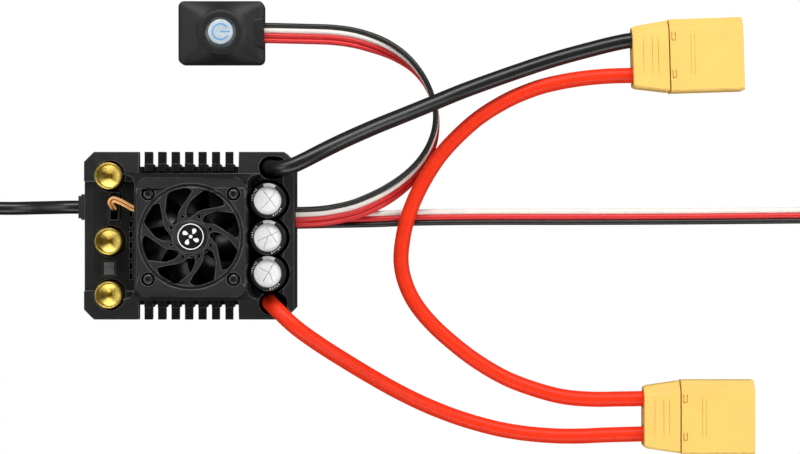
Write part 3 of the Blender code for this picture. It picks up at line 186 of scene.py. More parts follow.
PLASTIC = (0.0150, 0.0150, 0.0160)
FINISH = {
    # Each lighter twin of a finish below paints a highlight on the rounded edge strips of its pieces.
    "case_plastic": finish("case_plastic", PLASTIC, 0.6, grain=0.35, mottle=0.18, specular=0.15),
    "case_plastic_edge": finish("case_plastic_edge", tint(PLASTIC, 6.0)[:3], 0.5, mottle=0.35,
                                specular=0.4),
    "switch_plastic": finish("switch_plastic", (0.016, 0.016, 0.0165), 0.46, grain=0.25,
                             mottle=0.12, specular=0.28),
    "switch_plastic_edge": finish("switch_plastic_edge", (0.07, 0.07, 0.07), 0.4, mottle=0.2),
    "guard_plastic": finish("guard_plastic", (0.019, 0.019, 0.0195), 0.46, grain=0.3,
                            mottle=0.16, specular=0.3),
    "guard_plastic_edge": finish("guard_plastic_edge", (0.075, 0.075, 0.076), 0.4, mottle=0.3),
    "anodised_aluminium": finish("anodised_aluminium", (0.012, 0.012, 0.014), 0.34, 0.35,
                                 stretch=(1.0, 0.12, 1.0), grain=0.3),
    "anodised_aluminium_edge": finish("anodised_aluminium_edge", (0.05, 0.05, 0.052), 0.3, 0.35,
                                      mottle=0.25),
    "circuit_board": finish("circuit_board", (0.012, 0.045, 0.024), 0.5, mottle=0.3,
                            mottle_scale=900.0),
    "silicone_pad": finish("silicone_pad", (0.35, 0.36, 0.38), 0.8, grain=0.4),
    "chip_package": finish("chip_package", (0.018, 0.018, 0.018), 0.55, grain=0.4),
    "chip_package_edge": finish("chip_package_edge", (0.06, 0.06, 0.06), 0.45, mottle=0.25),
    "gold_plate": finish("gold_plate", (0.63, 0.48, 0.115), 0.36, 1.0, mottle=0.28,
                         mottle_scale=1100.0, grain=0.9, grain_scale=1500.0, spread=0.14),
    "capacitor_aluminium": finish("capacitor_aluminium", (0.88, 0.88, 0.88), 0.6, 0.0,
                                  mottle=0.08, mottle_scale=1400.0, stretch=(1.0, 0.25, 1.0),
                                  grain=0.3, grain_scale=2200.0, spread=0.14),
    # Darker grey that paints shade into the vent score grooves of the capacitor tops.
    "score_groove_painted_shade": finish("score_groove_painted_shade", (0.36, 0.36, 0.36), 0.5, 0.1),
    "sleeve_film": finish("sleeve_film", (0.016, 0.016, 0.017), 0.24, grain=0.15),
    "grey_print": finish("grey_print", (0.46, 0.46, 0.46), 0.5, mottle=0.2, mottle_scale=1500.0),
    "badge_film": finish("badge_film", (0.006, 0.006, 0.006), 0.3, grain=0.1),
    "white_print": finish("white_print", (0.86, 0.86, 0.86), 0.5, mottle=0.06),
    "blade_plastic": finish("blade_plastic", (0.012, 0.012, 0.012), 0.33, grain=0.2),
    "blade_plastic_edge": finish("blade_plastic_edge", (0.045, 0.045, 0.045), 0.33, mottle=0.2),
    "steel": finish("steel", (0.10, 0.10, 0.10), 0.34, 0.9, mottle=0.3, mottle_scale=1800.0),
    "ferrite": finish("ferrite", (0.05, 0.05, 0.05), 0.6, 0.2),
    "copper_winding": finish("copper_winding", (0.55, 0.22, 0.09), 0.4, 0.9,
                             stretch=(1.0, 1.0, 6.0)),
    "bronze": finish("bronze", (0.5, 0.3, 0.14), 0.45, 1.0),
    "orange_wire": finish("orange_wire", (0.98, 0.48, 0.15), 0.30, mottle=0.08, coat=0.4),
    "smoked_window": finish("smoked_window", (0.21, 0.21, 0.22), 0.35, mottle=0.35,
                            mottle_scale=700.0, stretch=(0.3, 1.0, 1.0), coat=0.3),
    "soft_rubber": finish("soft_rubber", (0.020, 0.020, 0.021), 0.55, grain=0.4),
    "soft_rubber_edge": finish("soft_rubber_edge", (0.05, 0.05, 0.05), 0.5, mottle=0.25),
    "black_silicone": finish("black_silicone", (0.010, 0.010, 0.0105), 0.30, mottle=0.2,
                             grain=0.12, grain_scale=900.0),
    "red_silicone": finish("red_silicone", (0.86, 0.034, 0.007), 0.40, mottle=0.07,
                           grain=0.12, grain_scale=900.0, specular=0.2),
    "lead_black": finish("lead_black", (0.010, 0.010, 0.009), 0.38, grain=0.06),
    "lead_white": finish("lead_white", (0.84, 0.78, 0.72), 0.42, mottle=0.04, grain=0.05),
    "lead_red": finish("lead_red", (0.66, 0.020, 0.020), 0.38, mottle=0.05, grain=0.05),
    "yellow_nylon": finish("yellow_nylon", (0.90, 0.58, 0.145), 0.42, mottle=0.03,
                           mottle_scale=120.0, grain=0.02),
    "button_resin": finish("button_resin", (0.50, 0.57, 0.61), 0.26, mottle=0.14,
                           mottle_scale=500.0, coat=0.4),
    "blue_print": finish("blue_print", (0.10, 0.33, 0.68), 0.35, mottle=0.2,
                         mottle_scale=900.0),
}
FINISH["lead_insulation"] = FINISH["lead_red"]

for node in NODES.values():
    node.material_slots[0].material = FINISH[node.material_slots[0].material.name]


# ---------------------------------------------------------------- mesh helpers
def place_piece(name, data, finishes, body="case", stands_for=()):
    """Link a piece with its materials, its body and the nodes it stands for."""
    obj = bpy.data.objects.new(name, data)
    for finish_name in finishes[len(data.materials):]:
        data.materials.append(FINISH[finish_name])
    bpy.context.scene.collection.objects.link(obj)
    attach(obj, body)
    if stands_for:
        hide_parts(*stands_for)
    return obj


def mesh_of(bm, sharp=35.0):
    bmesh.ops.recalc_face_normals(bm, faces=bm.faces)
    mesh = bpy.data.meshes.new("piece")
    bm.to_mesh(mesh)
    bm.free()
    mesh.shade_smooth()
    mesh.set_sharp_from_angle(angle=radians(sharp))
    return mesh


def welded(mesh):
    """A clean bmesh of a triangulated mesh, with its vertices welded."""
    bm = bmesh.new()
    verts = [bm.verts.new(v.co) for v in mesh.vertices]
    for polygon in mesh.polygons:
        bm.faces.new([verts[i] for i in polygon.vertices])
    bmesh.ops.remove_doubles(bm, verts=bm.verts, dist=2e-6)
    bmesh.ops.dissolve_degenerate(bm, edges=bm.edges, dist=1e-6)
    bmesh.ops.recalc_face_normals(bm, faces=bm.faces)
    return bm


def evaluated(obj):
    """The mesh that an object's modifiers give."""
    bpy.context.view_layer.update()
    graph = bpy.context.evaluated_depsgraph_get()
    return bpy.data.meshes.new_from_object(obj.evaluated_get(graph))


def pull_in(made, mesh, limit):
    """Collapse each corner that the rounding threw outside the shape it started from."""
    tree = BVHTree.FromPolygons([v.co for v in mesh.vertices],
                                [list(p.vertices) for p in mesh.polygons])
    bm = bmesh.new()
    bm.from_mesh(made)
    stray = set()
    for vert in bm.verts:
        place, normal, _, away = tree.find_nearest(vert.co)
        if away > limit and (vert.co - place).dot(normal) > 0:
            stray.add(vert)
    while stray:
        homes = {}
        for vert in stray:
            near = [e.other_vert(vert) for e in vert.link_edges if e.other_vert(vert) not in stray]
            if near:
                homes[vert] = min(near, key=lambda other: (other.co - vert.co).length)
        if not homes:
            break
        for vert, home in homes.items():
            vert.co = home.co
        stray -= set(homes)
    bmesh.ops.remove_doubles(bm, verts=bm.verts, dist=1e-6)
    bmesh.ops.dissolve_degenerate(bm, edges=bm.edges, dist=1e-7)
    bm.to_mesh(made)
    bm.free()


def modified(mesh, cutters=(), width=0.0, segments=2, cut_first=False):
    """A mesh with its sharp edges rounded and cutter meshes taken away.

    The rounded strips take the mesh's last material, which is its lighter finish that paints a
    highlight on the edges, if it has one.
    """
    obj = bpy.data.objects.new("work", mesh)
    bpy.context.scene.collection.objects.link(obj)
    bevel = obj.modifiers.new("bevel", 'BEVEL')
    bevel.limit_method = 'ANGLE'
    bevel.angle_limit = radians(28.0)
    bevel.width = width * MM
    bevel.segments = segments
    bevel.use_clamp_overlap = False
    bevel.material = len(mesh.materials) - 1
    tools = []
    for cutter in cutters:
        tool = bpy.data.objects.new("tool", cutter)
        bpy.context.scene.collection.objects.link(tool)
        boolean = obj.modifiers.new("cut", 'BOOLEAN')
        boolean.operation = 'DIFFERENCE'
        boolean.solver = 'EXACT'
        boolean.object = tool
        tools.append(tool)
    if cut_first:
        obj.modifiers.move(0, len(obj.modifiers) - 1)
    made = evaluated(obj)
    pull_in(made, mesh, max(width, 0.1) * MM)
    obj.data = made
    obj.modifiers.clear()
    obj.data.shade_smooth()
    obj.data.set_sharp_from_angle(angle=radians(35.0))
    flat = obj.modifiers.new("flat_faces", 'WEIGHTED_NORMAL')
    flat.keep_sharp = True
    made = evaluated(obj)
    for item in [obj, *tools]:
        bpy.data.objects.remove(item, do_unlink=True)
    return made


def refined(node, width, finish_name=None, segments=2, cutters=(), cut_first=False):
    """A piece that stands for a node: its shape with rounded edges and finer cuts."""
    bm = welded(NODES[node].data)
    mesh = bpy.data.meshes.new(node)
    bm.to_mesh(mesh)
    bm.free()
    finish_name = finish_name or NODES[node].material_slots[0].material.name
    # The finish's lighter twin, if any, paints a highlight on the rounded edges.
    finishes = [name for name in (finish_name, finish_name + "_edge") if name in FINISH]
    for name in finishes:
        mesh.materials.append(FINISH[name])
    made = modified(mesh, cutters, width, segments, cut_first)
    return place_piece(node + "_shell", made, finishes, "case", [node])


def arc(cx, cy, radius, start, end, steps):
    turn = [radians(start + (end - start) * i / steps) for i in range(steps + 1)]
    return [(cx + radius * cos(a), cy + radius * sin(a)) for a in turn]


def prism(bm, points, low, high, material=0):
    """Extrude a flat (x, y) outline in mm between two heights."""
    lower = [bm.verts.new((x * MM, y * MM, low * MM)) for x, y in points]
    upper = [bm.verts.new((x * MM, y * MM, high * MM)) for x, y in points]
    count = len(points)
    faces = [bm.faces.new(upper), bm.faces.new(list(reversed(lower)))]
    for i in range(count):
        j = (i + 1) % count
        faces.append(bm.faces.new((lower[i], lower[j], upper[j], upper[i])))
    for face in faces:
        face.material_index = material
    return faces


def slab(bm, x0, y0, x1, y1, low, high, material=0):
    """An upright box between two corners and two heights, in mm."""
    prism(bm, [(x0, y0), (x1, y0), (x1, y1), (x0, y1)], low, high, material)


def arc_plate(bm, cx, cy, inner, outer, start, end, low, high, material=0, steps=12):
    """A flat plate bounded by two arcs."""
    points = arc(cx, cy, outer, start, end, steps) + arc(cx, cy, inner, end, start, steps)
    prism(bm, points, low, high, material)


def box_cutter(low, high, place=None):
    bm = bmesh.new()
    bmesh.ops.create_cube(bm, size=1.0)
    bmesh.ops.scale(bm, vec=[(b - a) * MM for a, b in zip(low, high)], verts=bm.verts)
    bmesh.ops.translate(bm, vec=[(a + b) / 2 * MM for a, b in zip(low, high)], verts=bm.verts)
    mesh = bpy.data.meshes.new("cutter")
    if place:
        bm.transform(place)
    bm.to_mesh(mesh)
    bm.free()
    return mesh


def round_cutter(x, y, radius, low, high, sides=20):
    bm = bmesh.new()
    prism(bm, arc(x, y, radius, 0, 360, sides)[:-1], low, high)
    bmesh.ops.recalc_face_normals(bm, faces=bm.faces)
    mesh = bpy.data.meshes.new("cutter")
    bm.to_mesh(mesh)
    bm.free()
    return mesh


def turned(bm, profile, cx, cy, sides=64, material=0, closed=False):
    """Turn (radius, z) points from top to bottom about a vertical axis, in mm."""
    rows = []
    for radius, z in profile:
        if radius < 1e-6:
            rows.append([bm.verts.new((cx * MM, cy * MM, z * MM))])
        else:
            rows.append([bm.verts.new(((cx + radius * cos(2 * pi * i / sides)) * MM,
                                       (cy + radius * sin(2 * pi * i / sides)) * MM, z * MM))
                         for i in range(sides)])
    pairs = list(zip(rows, rows[1:]))
    if closed:
        pairs.append((rows[-1], rows[0]))
    for upper, lower in pairs:
        for i in range(sides):
            j = (i + 1) % sides
            if len(upper) == 1 and len(lower) == 1:
                continue
            if len(upper) == 1:
                face = bm.faces.new((upper[0], lower[i], lower[j]))
            elif len(lower) == 1:
                face = bm.faces.new((upper[i], lower[0], upper[j]))
            else:
                face = bm.faces.new((upper[i], lower[i], lower[j], upper[j]))
            face.material_index = material


def smooth_route(points, spacing):
    """Points at an even spacing along a smooth curve through the route's own points."""
    knots = [Vector(p) for p in points]
    knots = [2 * knots[0] - knots[1]] + knots + [2 * knots[-1] - knots[-2]]
    fine = []
    for a, b, c, d in zip(knots, knots[1:], knots[2:], knots[3:]):
        for i in range(16):
            t = i / 16
            fine.append(0.5 * (2 * b + (c - a) * t + (2 * a - 5 * b + 4 * c - d) * t ** 2
                               + (3 * b - a - 3 * c + d) * t ** 3))
    fine.append(knots[-2])
    lengths = [0.0]
    for p, q in zip(fine, fine[1:]):
        lengths.append(lengths[-1] + (q.xyz - p.xyz).length)
    steps = max(2, round(lengths[-1] / spacing))
    route, i = [], 0
    for k in range(steps + 1):
        target = lengths[-1] * k / steps
        while i < len(fine) - 2 and lengths[i + 1] < target:
            i += 1
        span = lengths[i + 1] - lengths[i]
        route.append(fine[i].lerp(fine[i + 1], (target - lengths[i]) / span))
    return route


def round_wire(name, points, diameter, finish_name, stands_for, spacing=1.0, body="case"):
    """A round wire: a curve with one open spline along a smooth route."""
    curve = bpy.data.curves.new(name, 'CURVE')
    curve.dimensions = '3D'
    curve.bevel_depth = diameter / 2 * MM
    curve.bevel_resolution = 7
    curve.use_fill_caps = True
    route = smooth_route(points, spacing)
    spline = curve.splines.new('POLY')
    spline.points.add(len(route) - 1)
    for point, place in zip(spline.points, route):
        point.co = (*(place.xyz * MM), 1.0)
    spline.use_smooth = True
    return place_piece(name, curve, [finish_name], body, stands_for)


def lobed_section(cores, radius, pitch, steps):
    """The outline of joined round cores, and the core that each side of it belongs to."""
    join = acos(pitch / 2 / radius)
    last = cores - 1
    arcs = [(last, join - pi, pi - join, 2 * steps)]
    arcs += [(i, join, pi - join, steps) for i in range(last - 1, 0, -1)]
    arcs += [(0, join, 2 * pi - join, 2 * steps)]
    arcs += [(i, pi + join, 2 * pi - join, steps) for i in range(1, last)]
    outline, owners = [], []
    for core, start, end, count in arcs:
        centre = (core - last / 2) * pitch
        for k in range(count):
            angle = start + (end - start) * k / count
            outline.append((centre + radius * cos(angle), radius * sin(angle)))
            owners.append(core)
    return outline, owners


def ribbon_lead(name, points, cores, pitch, finishes, stands_for, spacing=1.2):
    """A flat lead of joined cores; returns the piece and its centreline in metres."""
    route = smooth_route([p if len(p) == 4 else (*p, 0.0) for p in points], spacing)
    outline, owners = lobed_section(cores, pitch * 0.52, pitch, 6)
    bm = bmesh.new()
    rows = []
    for i, place in enumerate(route):
        ahead = route[min(i + 1, len(route) - 1)].xyz - route[max(i - 1, 0)].xyz
        ahead.normalize()
        side = Vector((-ahead.y, ahead.x, 0.0)).normalized()
        above = ahead.cross(side)
        turn = radians(place[3])
        across = side * cos(turn) - above * sin(turn)
        through = side * sin(turn) + above * cos(turn)
        rows.append([bm.verts.new((place.xyz + across * u + through * v) * MM)
                     for u, v in outline])
    for near, far in zip(rows, rows[1:]):
        for i in range(len(outline)):
            j = (i + 1) % len(outline)
            face = bm.faces.new((near[i], near[j], far[j], far[i]))
            face.material_index = owners[i]
    bm.faces.new(list(reversed(rows[0])))
    bm.faces.new(rows[-1])
    piece = place_piece(name, mesh_of(bm, 50.0), finishes, "case", stands_for)
    return piece, [tuple(p.xyz * MM) for p in route]


# ---------------------------------------------------------------- battery connectors
def connector_places(name):
    x, y, heading = CONNECTORS[name]
    return (Matrix.Translation((x * MM, y * MM, CONNECTOR_HALF_HEIGHT * MM))
            @ Matrix.Rotation(radians(heading), 4, 'Z'))


def make_connector(name):
    """Housing with latch windows and guide grooves, cap with a raised panel, and pins."""
    place = connector_places(name)
    top = CONNECTOR_HALF_HEIGHT
    cuts = []
    for side in (-1, 1):
        latch = side * 5.5
        outer_low, outer_high = (-4.9, latch - 1.2), (-3.6, latch + 1.2)
        cuts += [
            box_cutter((*outer_low, top - 0.45), (outer_low[0] + 0.3, outer_high[1], top + 1), place),
            box_cutter((outer_high[0] - 0.3, outer_low[1], top - 0.45), (*outer_high, top + 1), place),
            box_cutter((outer_low[0], outer_low[1], top - 0.45),
                       (outer_high[0] - 0.5, outer_low[1] + 0.3, top + 1), place),
        ]
    for x in (0.6, 1.7):
        cuts.append(box_cutter((x, -5.7, top - 0.16), (x + 0.22, 5.7, top + 1), place))
    housing = refined(f"connector_{name}_housing", 0.22, "yellow_nylon", 3, cuts)
    cap_cuts = []
    for x in (-13.2, -10.6, -8.9):
        cap_cuts.append(box_cutter((x, -5.2, top - 0.55), (x + 0.14, 5.2, top + 1), place))
    cap = refined(f"connector_{name}_cap", 0.25, "yellow_nylon", 3, cap_cuts)
    pins = [NODES[f"connector_{name}_pin_{i}"] for i in (1, 2)]
    return [housing, cap, *pins]


CONNECTOR_PIECES = {name: make_connector(name) for name in CONNECTORS}


# ---------------------------------------------------------------- cords
def make_power_cables():
    negative = round_wire("negative_battery_wire", NEGATIVE_ROUTE, BATTERY_WIRE,
                          "black_silicone", ["battery_cable_negative"])
    positive = round_wire("positive_battery_wire", POSITIVE_ROUTE, BATTERY_WIRE,
                          "red_silicone", ["battery_cable_positive"])
    series = round_wire("series_link_wire", SERIES_ROUTE, BATTERY_WIRE,
                        "red_silicone", ["series_cable"])


def coil_route():
    """The sensor cable's whole centreline: across the floor, round the coil, to its plug."""
    points = list(SENSOR_ROUTE) + [(-77.5, 8.2, COIL_Z)]
    cx, cy = COIL_CENTRE
    steps = int(COIL_TURNS * 20)
    for i in range(steps + 1):
        turns = COIL_TURNS * i / steps
        radius = COIL_START_RADIUS - COIL_PITCH * turns
        angle = radians(90.0) + 2 * pi * turns
        points.append((cx + radius * cos(angle), cy + radius * sin(angle), COIL_Z))
    x, y, _ = points[-1]
    for angle in (20.0, 40.0, 60.0, 80.0):
        points.append((x - 7.5 + 7.5 * cos(radians(angle)), y + 7.3 * sin(radians(angle)), COIL_Z))
    points += [(-77.4, -9.0, COIL_Z), (-80.2, -9.1, COIL_Z), (-83.4, -9.1, COIL_Z)]
    return points


def tie_mesh():
    """A thin band round the coil's turns."""
    cx, cy = COIL_CENTRE
    inside, outside = TIE_REACH
    bm = bmesh.new()
    band = [(outside - 0.6, 4.3), (inside + 0.6, 4.3), (inside, 3.7), (inside, 0.5),
            (inside + 0.5, 0.0), (outside - 0.5, 0.0), (outside, 0.5), (outside, 3.7)]
    inner = [(outside - 0.7, 4.16), (inside + 0.7, 4.16), (inside + 0.12, 3.6),
             (inside + 0.12, 0.6), (inside + 0.6, 0.12), (outside - 0.6, 0.12),
             (outside - 0.12, 0.6), (outside - 0.12, 3.6)]
    sides = []
    for x in (-1.3, 1.3):
        sides.append([[bm.verts.new(((cx + x) * MM, (cy - r) * MM, z * MM)) for r, z in loop]
                      for loop in (band, inner)])
    count = len(band)
    for i in range(count):
        j = (i + 1) % count
        (near_out, near_in), (far_out, far_in) = sides
        bm.faces.new((near_out[i], near_out[j], far_out[j], far_out[i]))
        bm.faces.new((near_in[i], far_in[i], far_in[j], near_in[j]))
        bm.faces.new((near_out[i], near_in[i], near_in[j], near_out[j]))
        bm.faces.new((far_out[i], far_out[j], far_in[j], far_in[i]))
    return mesh_of(bm)


def make_sensor_cable():
    cable = round_wire("sensor_wire", coil_route(), SENSOR_CABLE, "black_silicone",
                       ["sensor_cable", "sensor_coil"])
    plug = refined("sensor_plug", 0.3, "chip_package", 3)
    bm = bmesh.new()
    slab(bm, -86.4, -13.4, -83.9, -4.8, 4.1 - 0.3, 4.35)
    ridge = place_piece("sensor_plug_key", mesh_of(bm), ["chip_package"])
    tie = place_piece("sensor_wire_tie", tie_mesh(), ["soft_rubber"])


def make_leads():
    plug = refined("receiver_plug", 0.25, "chip_package", 3)
    lead, path = ribbon_lead("receiver_ribbon", RECEIVER_ROUTE, 3, 1.6,
                             ["lead_black", "lead_red", "lead_white"], ["receiver_lead"])
    lead, path = ribbon_lead("switch_ribbon", SWITCH_LEAD_ROUTE, 4, 1.5,
                             ["lead_red", "lead_red", "lead_white", "lead_black"],
                             ["switch_lead"])
    return lead, list(reversed(path))


make_power_cables()
make_sensor_cable()
SWITCH_LEAD, SWITCH_PATH = make_leads()


# ---------------------------------------------------------------- case
refined("upper_cover", 0.16, "case_plastic", 2)
refined("lower_tray", 0.2, "case_plastic", 2)
refined("heat_sink", 0.14, "anodised_aluminium", 2)
refined("sensor_grommet", 0.25, "soft_rubber", 3)
refined("lead_gland", 0.15, "soft_rubber", 2)
refined("fan_socket", 0.1, "chip_package", 2)
refined("fan_plug", 0.15, "chip_package", 2)
refined("fan_frame", 0.15, "blade_plastic", 2)


# ---------------------------------------------------------------- fan
FAN_X, FAN_Y, _ = middle("fan_hub_badge")
GUARD_TOP = middle("fan_guard")[2]


def make_guard():
    holes = [round_cutter(FAN_X + 6.0 * cos(radians(22.5 + 45 * k)),
                          FAN_Y + 6.0 * sin(radians(22.5 + 45 * k)),
                          0.45, GUARD_TOP - 1.2, GUARD_TOP + 1, 14) for k in range(GUARD_HOLES)]
    refined("fan_guard", 0.16, "guard_plastic", 2, holes, cut_first=True)


def make_badge():
    """A black disc with a white ring and a plain ventilator sign."""
    bm = bmesh.new()
    top = GUARD_TOP
    turned(bm, [(0.0, top - 0.05), (4.35, top - 0.05), (4.6, top - 0.2), (4.6, top - 0.45),
                (0.0, top - 0.45)], FAN_X, FAN_Y, 64, 0)
    ring = [(3.42, top + 0.03), (3.68, top + 0.03), (3.68, top - 0.06), (3.42, top - 0.06)]
    turned(bm, ring, FAN_X, FAN_Y, 64, 1, closed=True)
    turned(bm, [(0.0, top + 0.03), (0.5, top + 0.03), (0.5, top - 0.06), (0.0, top - 0.06)],
           FAN_X, FAN_Y, 24, 1)
    for k in range(4):
        start = radians(45 + 90 * k)
        outline = []
        for angle, radius in ((2, 0.9), (-6, 1.5), (-3, 2.2), (9, 2.6), (24, 2.5), (33, 2.0),
                              (27, 1.5), (17, 1.1)):
            turn = start + radians(angle)
            outline.append((FAN_X + radius * cos(turn), FAN_Y + radius * sin(turn)))
        prism(bm, outline, top - 0.06, top + 0.03, 1)
    place_piece("hub_badge", mesh_of(bm), ["badge_film", "white_print"], "case",
                ["fan_hub_badge"])


def make_rotor():
    """Seven swept blades on a cupped hub."""
    bm = bmesh.new()
    hub_top = middle("fan_rotor")[2]
    hub = HUB_RADIUS
    turned(bm, [(0.0, hub_top), (5.6, hub_top), (6.2, hub_top - 0.15), (hub, hub_top - 0.7),
                (hub, 29.6), (6.1, 29.6), (6.1, 32.6), (0.0, 32.6)], FAN_X, FAN_Y, 56)
    stations, across = 9, 9
    for blade in range(BLADES):
        turn = blade * 360 / BLADES
        upper, lower = [], []
        for i in range(stations):
            share = i / (stations - 1)
            radius = hub - 0.2 + (BLADE_TIP - hub + 0.2) * share
            chord = 44.0 - 6.0 * share
            lead = turn + 20.0 * share
            tops, bottoms = [], []
            for k in range(across):
                along = k / (across - 1)
                angle = radians(lead - chord * along)
                camber = 0.35 * sin(pi * along)
                thick = 0.08 + 0.26 * sin(pi * min(1.0, along * 1.3)) ** 0.5 if along < 0.77 else 0.16
                z = 32.7 - 3.5 * along + camber
                x, y = FAN_X + radius * cos(angle), FAN_Y + radius * sin(angle)
                tops.append(bm.verts.new((x * MM, y * MM, (z + thick / 2) * MM)))
                bottoms.append(bm.verts.new((x * MM, y * MM, (z - thick / 2) * MM)))
            upper.append(tops)
            lower.append(bottoms)
        for i in range(stations - 1):
            for k in range(across - 1):
                bm.faces.new((upper[i][k], upper[i + 1][k], upper[i + 1][k + 1], upper[i][k + 1]))
                bm.faces.new((lower[i][k], lower[i][k + 1], lower[i + 1][k + 1], lower[i + 1][k]))
        rim = ([(upper[i][0], lower[i][0]) for i in range(stations)]
               + [(upper[-1][k], lower[-1][k]) for k in range(1, across)]
               + [(upper[i][-1], lower[i][-1]) for i in range(stations - 2, -1, -1)]
               + [(upper[0][k], lower[0][k]) for k in range(across - 2, 0, -1)])
        for a, b in zip(rim, rim[1:] + rim[:1]):
            bm.faces.new((a[0], a[1], b[1], b[0]))
    place_piece("fan_impeller", mesh_of(bm, 45.0), ["blade_plastic"], "fan_rotor",
                ["fan_rotor"])


def make_fan_screws():
    """Button heads with a hexagon socket."""
    for i in range(4):
        x, y, top = middle(f"fan_screw_{i + 1}")
        bm = bmesh.new()
        head = [(0.0, top - 0.65), (0.62, top - 0.65), (0.72, top - 0.05), (0.85, top),
                (1.15, top - 0.06), (1.42, top - 0.25), (1.57, top - 0.55), (1.57, top - 0.9),
                (0.85, top - 0.9), (0.85, 28.4), (0.0, 28.4)]
        turned(bm, head, x, y, 36)
        for vert in bm.verts:
            dx, dy = vert.co.x / MM - x, vert.co.y / MM - y
            radius = hypot(dx, dy)
            if 0.5 < radius < 0.8 and vert.co.z > (top - 1.0) * MM:
                angle = (Vector((dx, dy)).angle_signed(Vector((1.0, 0.0))) + i) % (pi / 3) - pi / 6
                grow = 0.94 * cos(pi / 6) / cos(angle) / cos(pi / 6)
                vert.co.x = (x + dx * grow) * MM
                vert.co.y = (y + dy * grow) * MM
        place_piece(f"fan_screw_head_{i + 1}", mesh_of(bm), ["steel"], "case",
                    [f"fan_screw_{i + 1}"])


def make_fan_wires():
    x, y, _ = middle("fan_socket")
    for i, side in enumerate((-0.5, 0.5)):
        route = [(x + dx + side * ox, y + dy + side * oy, z)
                 for dx, dy, z, ox, oy in FAN_WIRE_ROUTE]
        round_wire(f"fan_lead_{i + 1}", route, FAN_WIRE, "orange_wire", [f"fan_wire_{i + 1}"],
                   0.25)


make_guard()
make_badge()
make_rotor()
make_fan_screws()
make_fan_wires()


# ---------------------------------------------------------------- sockets
def make_sockets():
    """Turned bullet sockets: a rounded lip, and a coned floor with tool rings."""
    for letter in "abc":
        x, y, top = middle(f"bullet_socket_{letter}")
        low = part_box(f"bullet_socket_{letter}")[0].z / MM
        profile = [(0.0, top - 3.8), (0.28, top - 3.9), (0.48, top - 4.2)]
        rings = 12
        for k in range(rings + 1):
            share = k / rings
            radius = 0.6 + (3.2 - 0.6) * share
            z = top - 4.1 + 1.35 * share
            profile += [(radius, z + (0.05 if k % 2 else -0.03))]
        profile += [(3.27, top - 2.4), (3.27, top - 0.45), (3.36, top - 0.22), (3.52, top - 0.04),
                    (3.66, top), (3.80, top - 0.06), (SOCKET_RADIUS, top - 0.22),
                    (SOCKET_RADIUS, low), (0.0, low)]
        bm = bmesh.new()
        turned(bm, profile, x, y, 72)
        place_piece(f"motor_socket_{letter}", mesh_of(bm, 40.0), ["gold_plate"], "case",
                    [f"bullet_socket_{letter}"])


# ---------------------------------------------------------------- capacitors
def distance_to(px, py, ax, ay, bx, by):
    length = (bx - ax) ** 2 + (by - ay) ** 2
    share = max(0.0, min(1.0, ((px - ax) * (bx - ax) + (py - ay) * (by - ay)) / length))
    return hypot(px - ax - share * (bx - ax), py - ay - share * (by - ay))


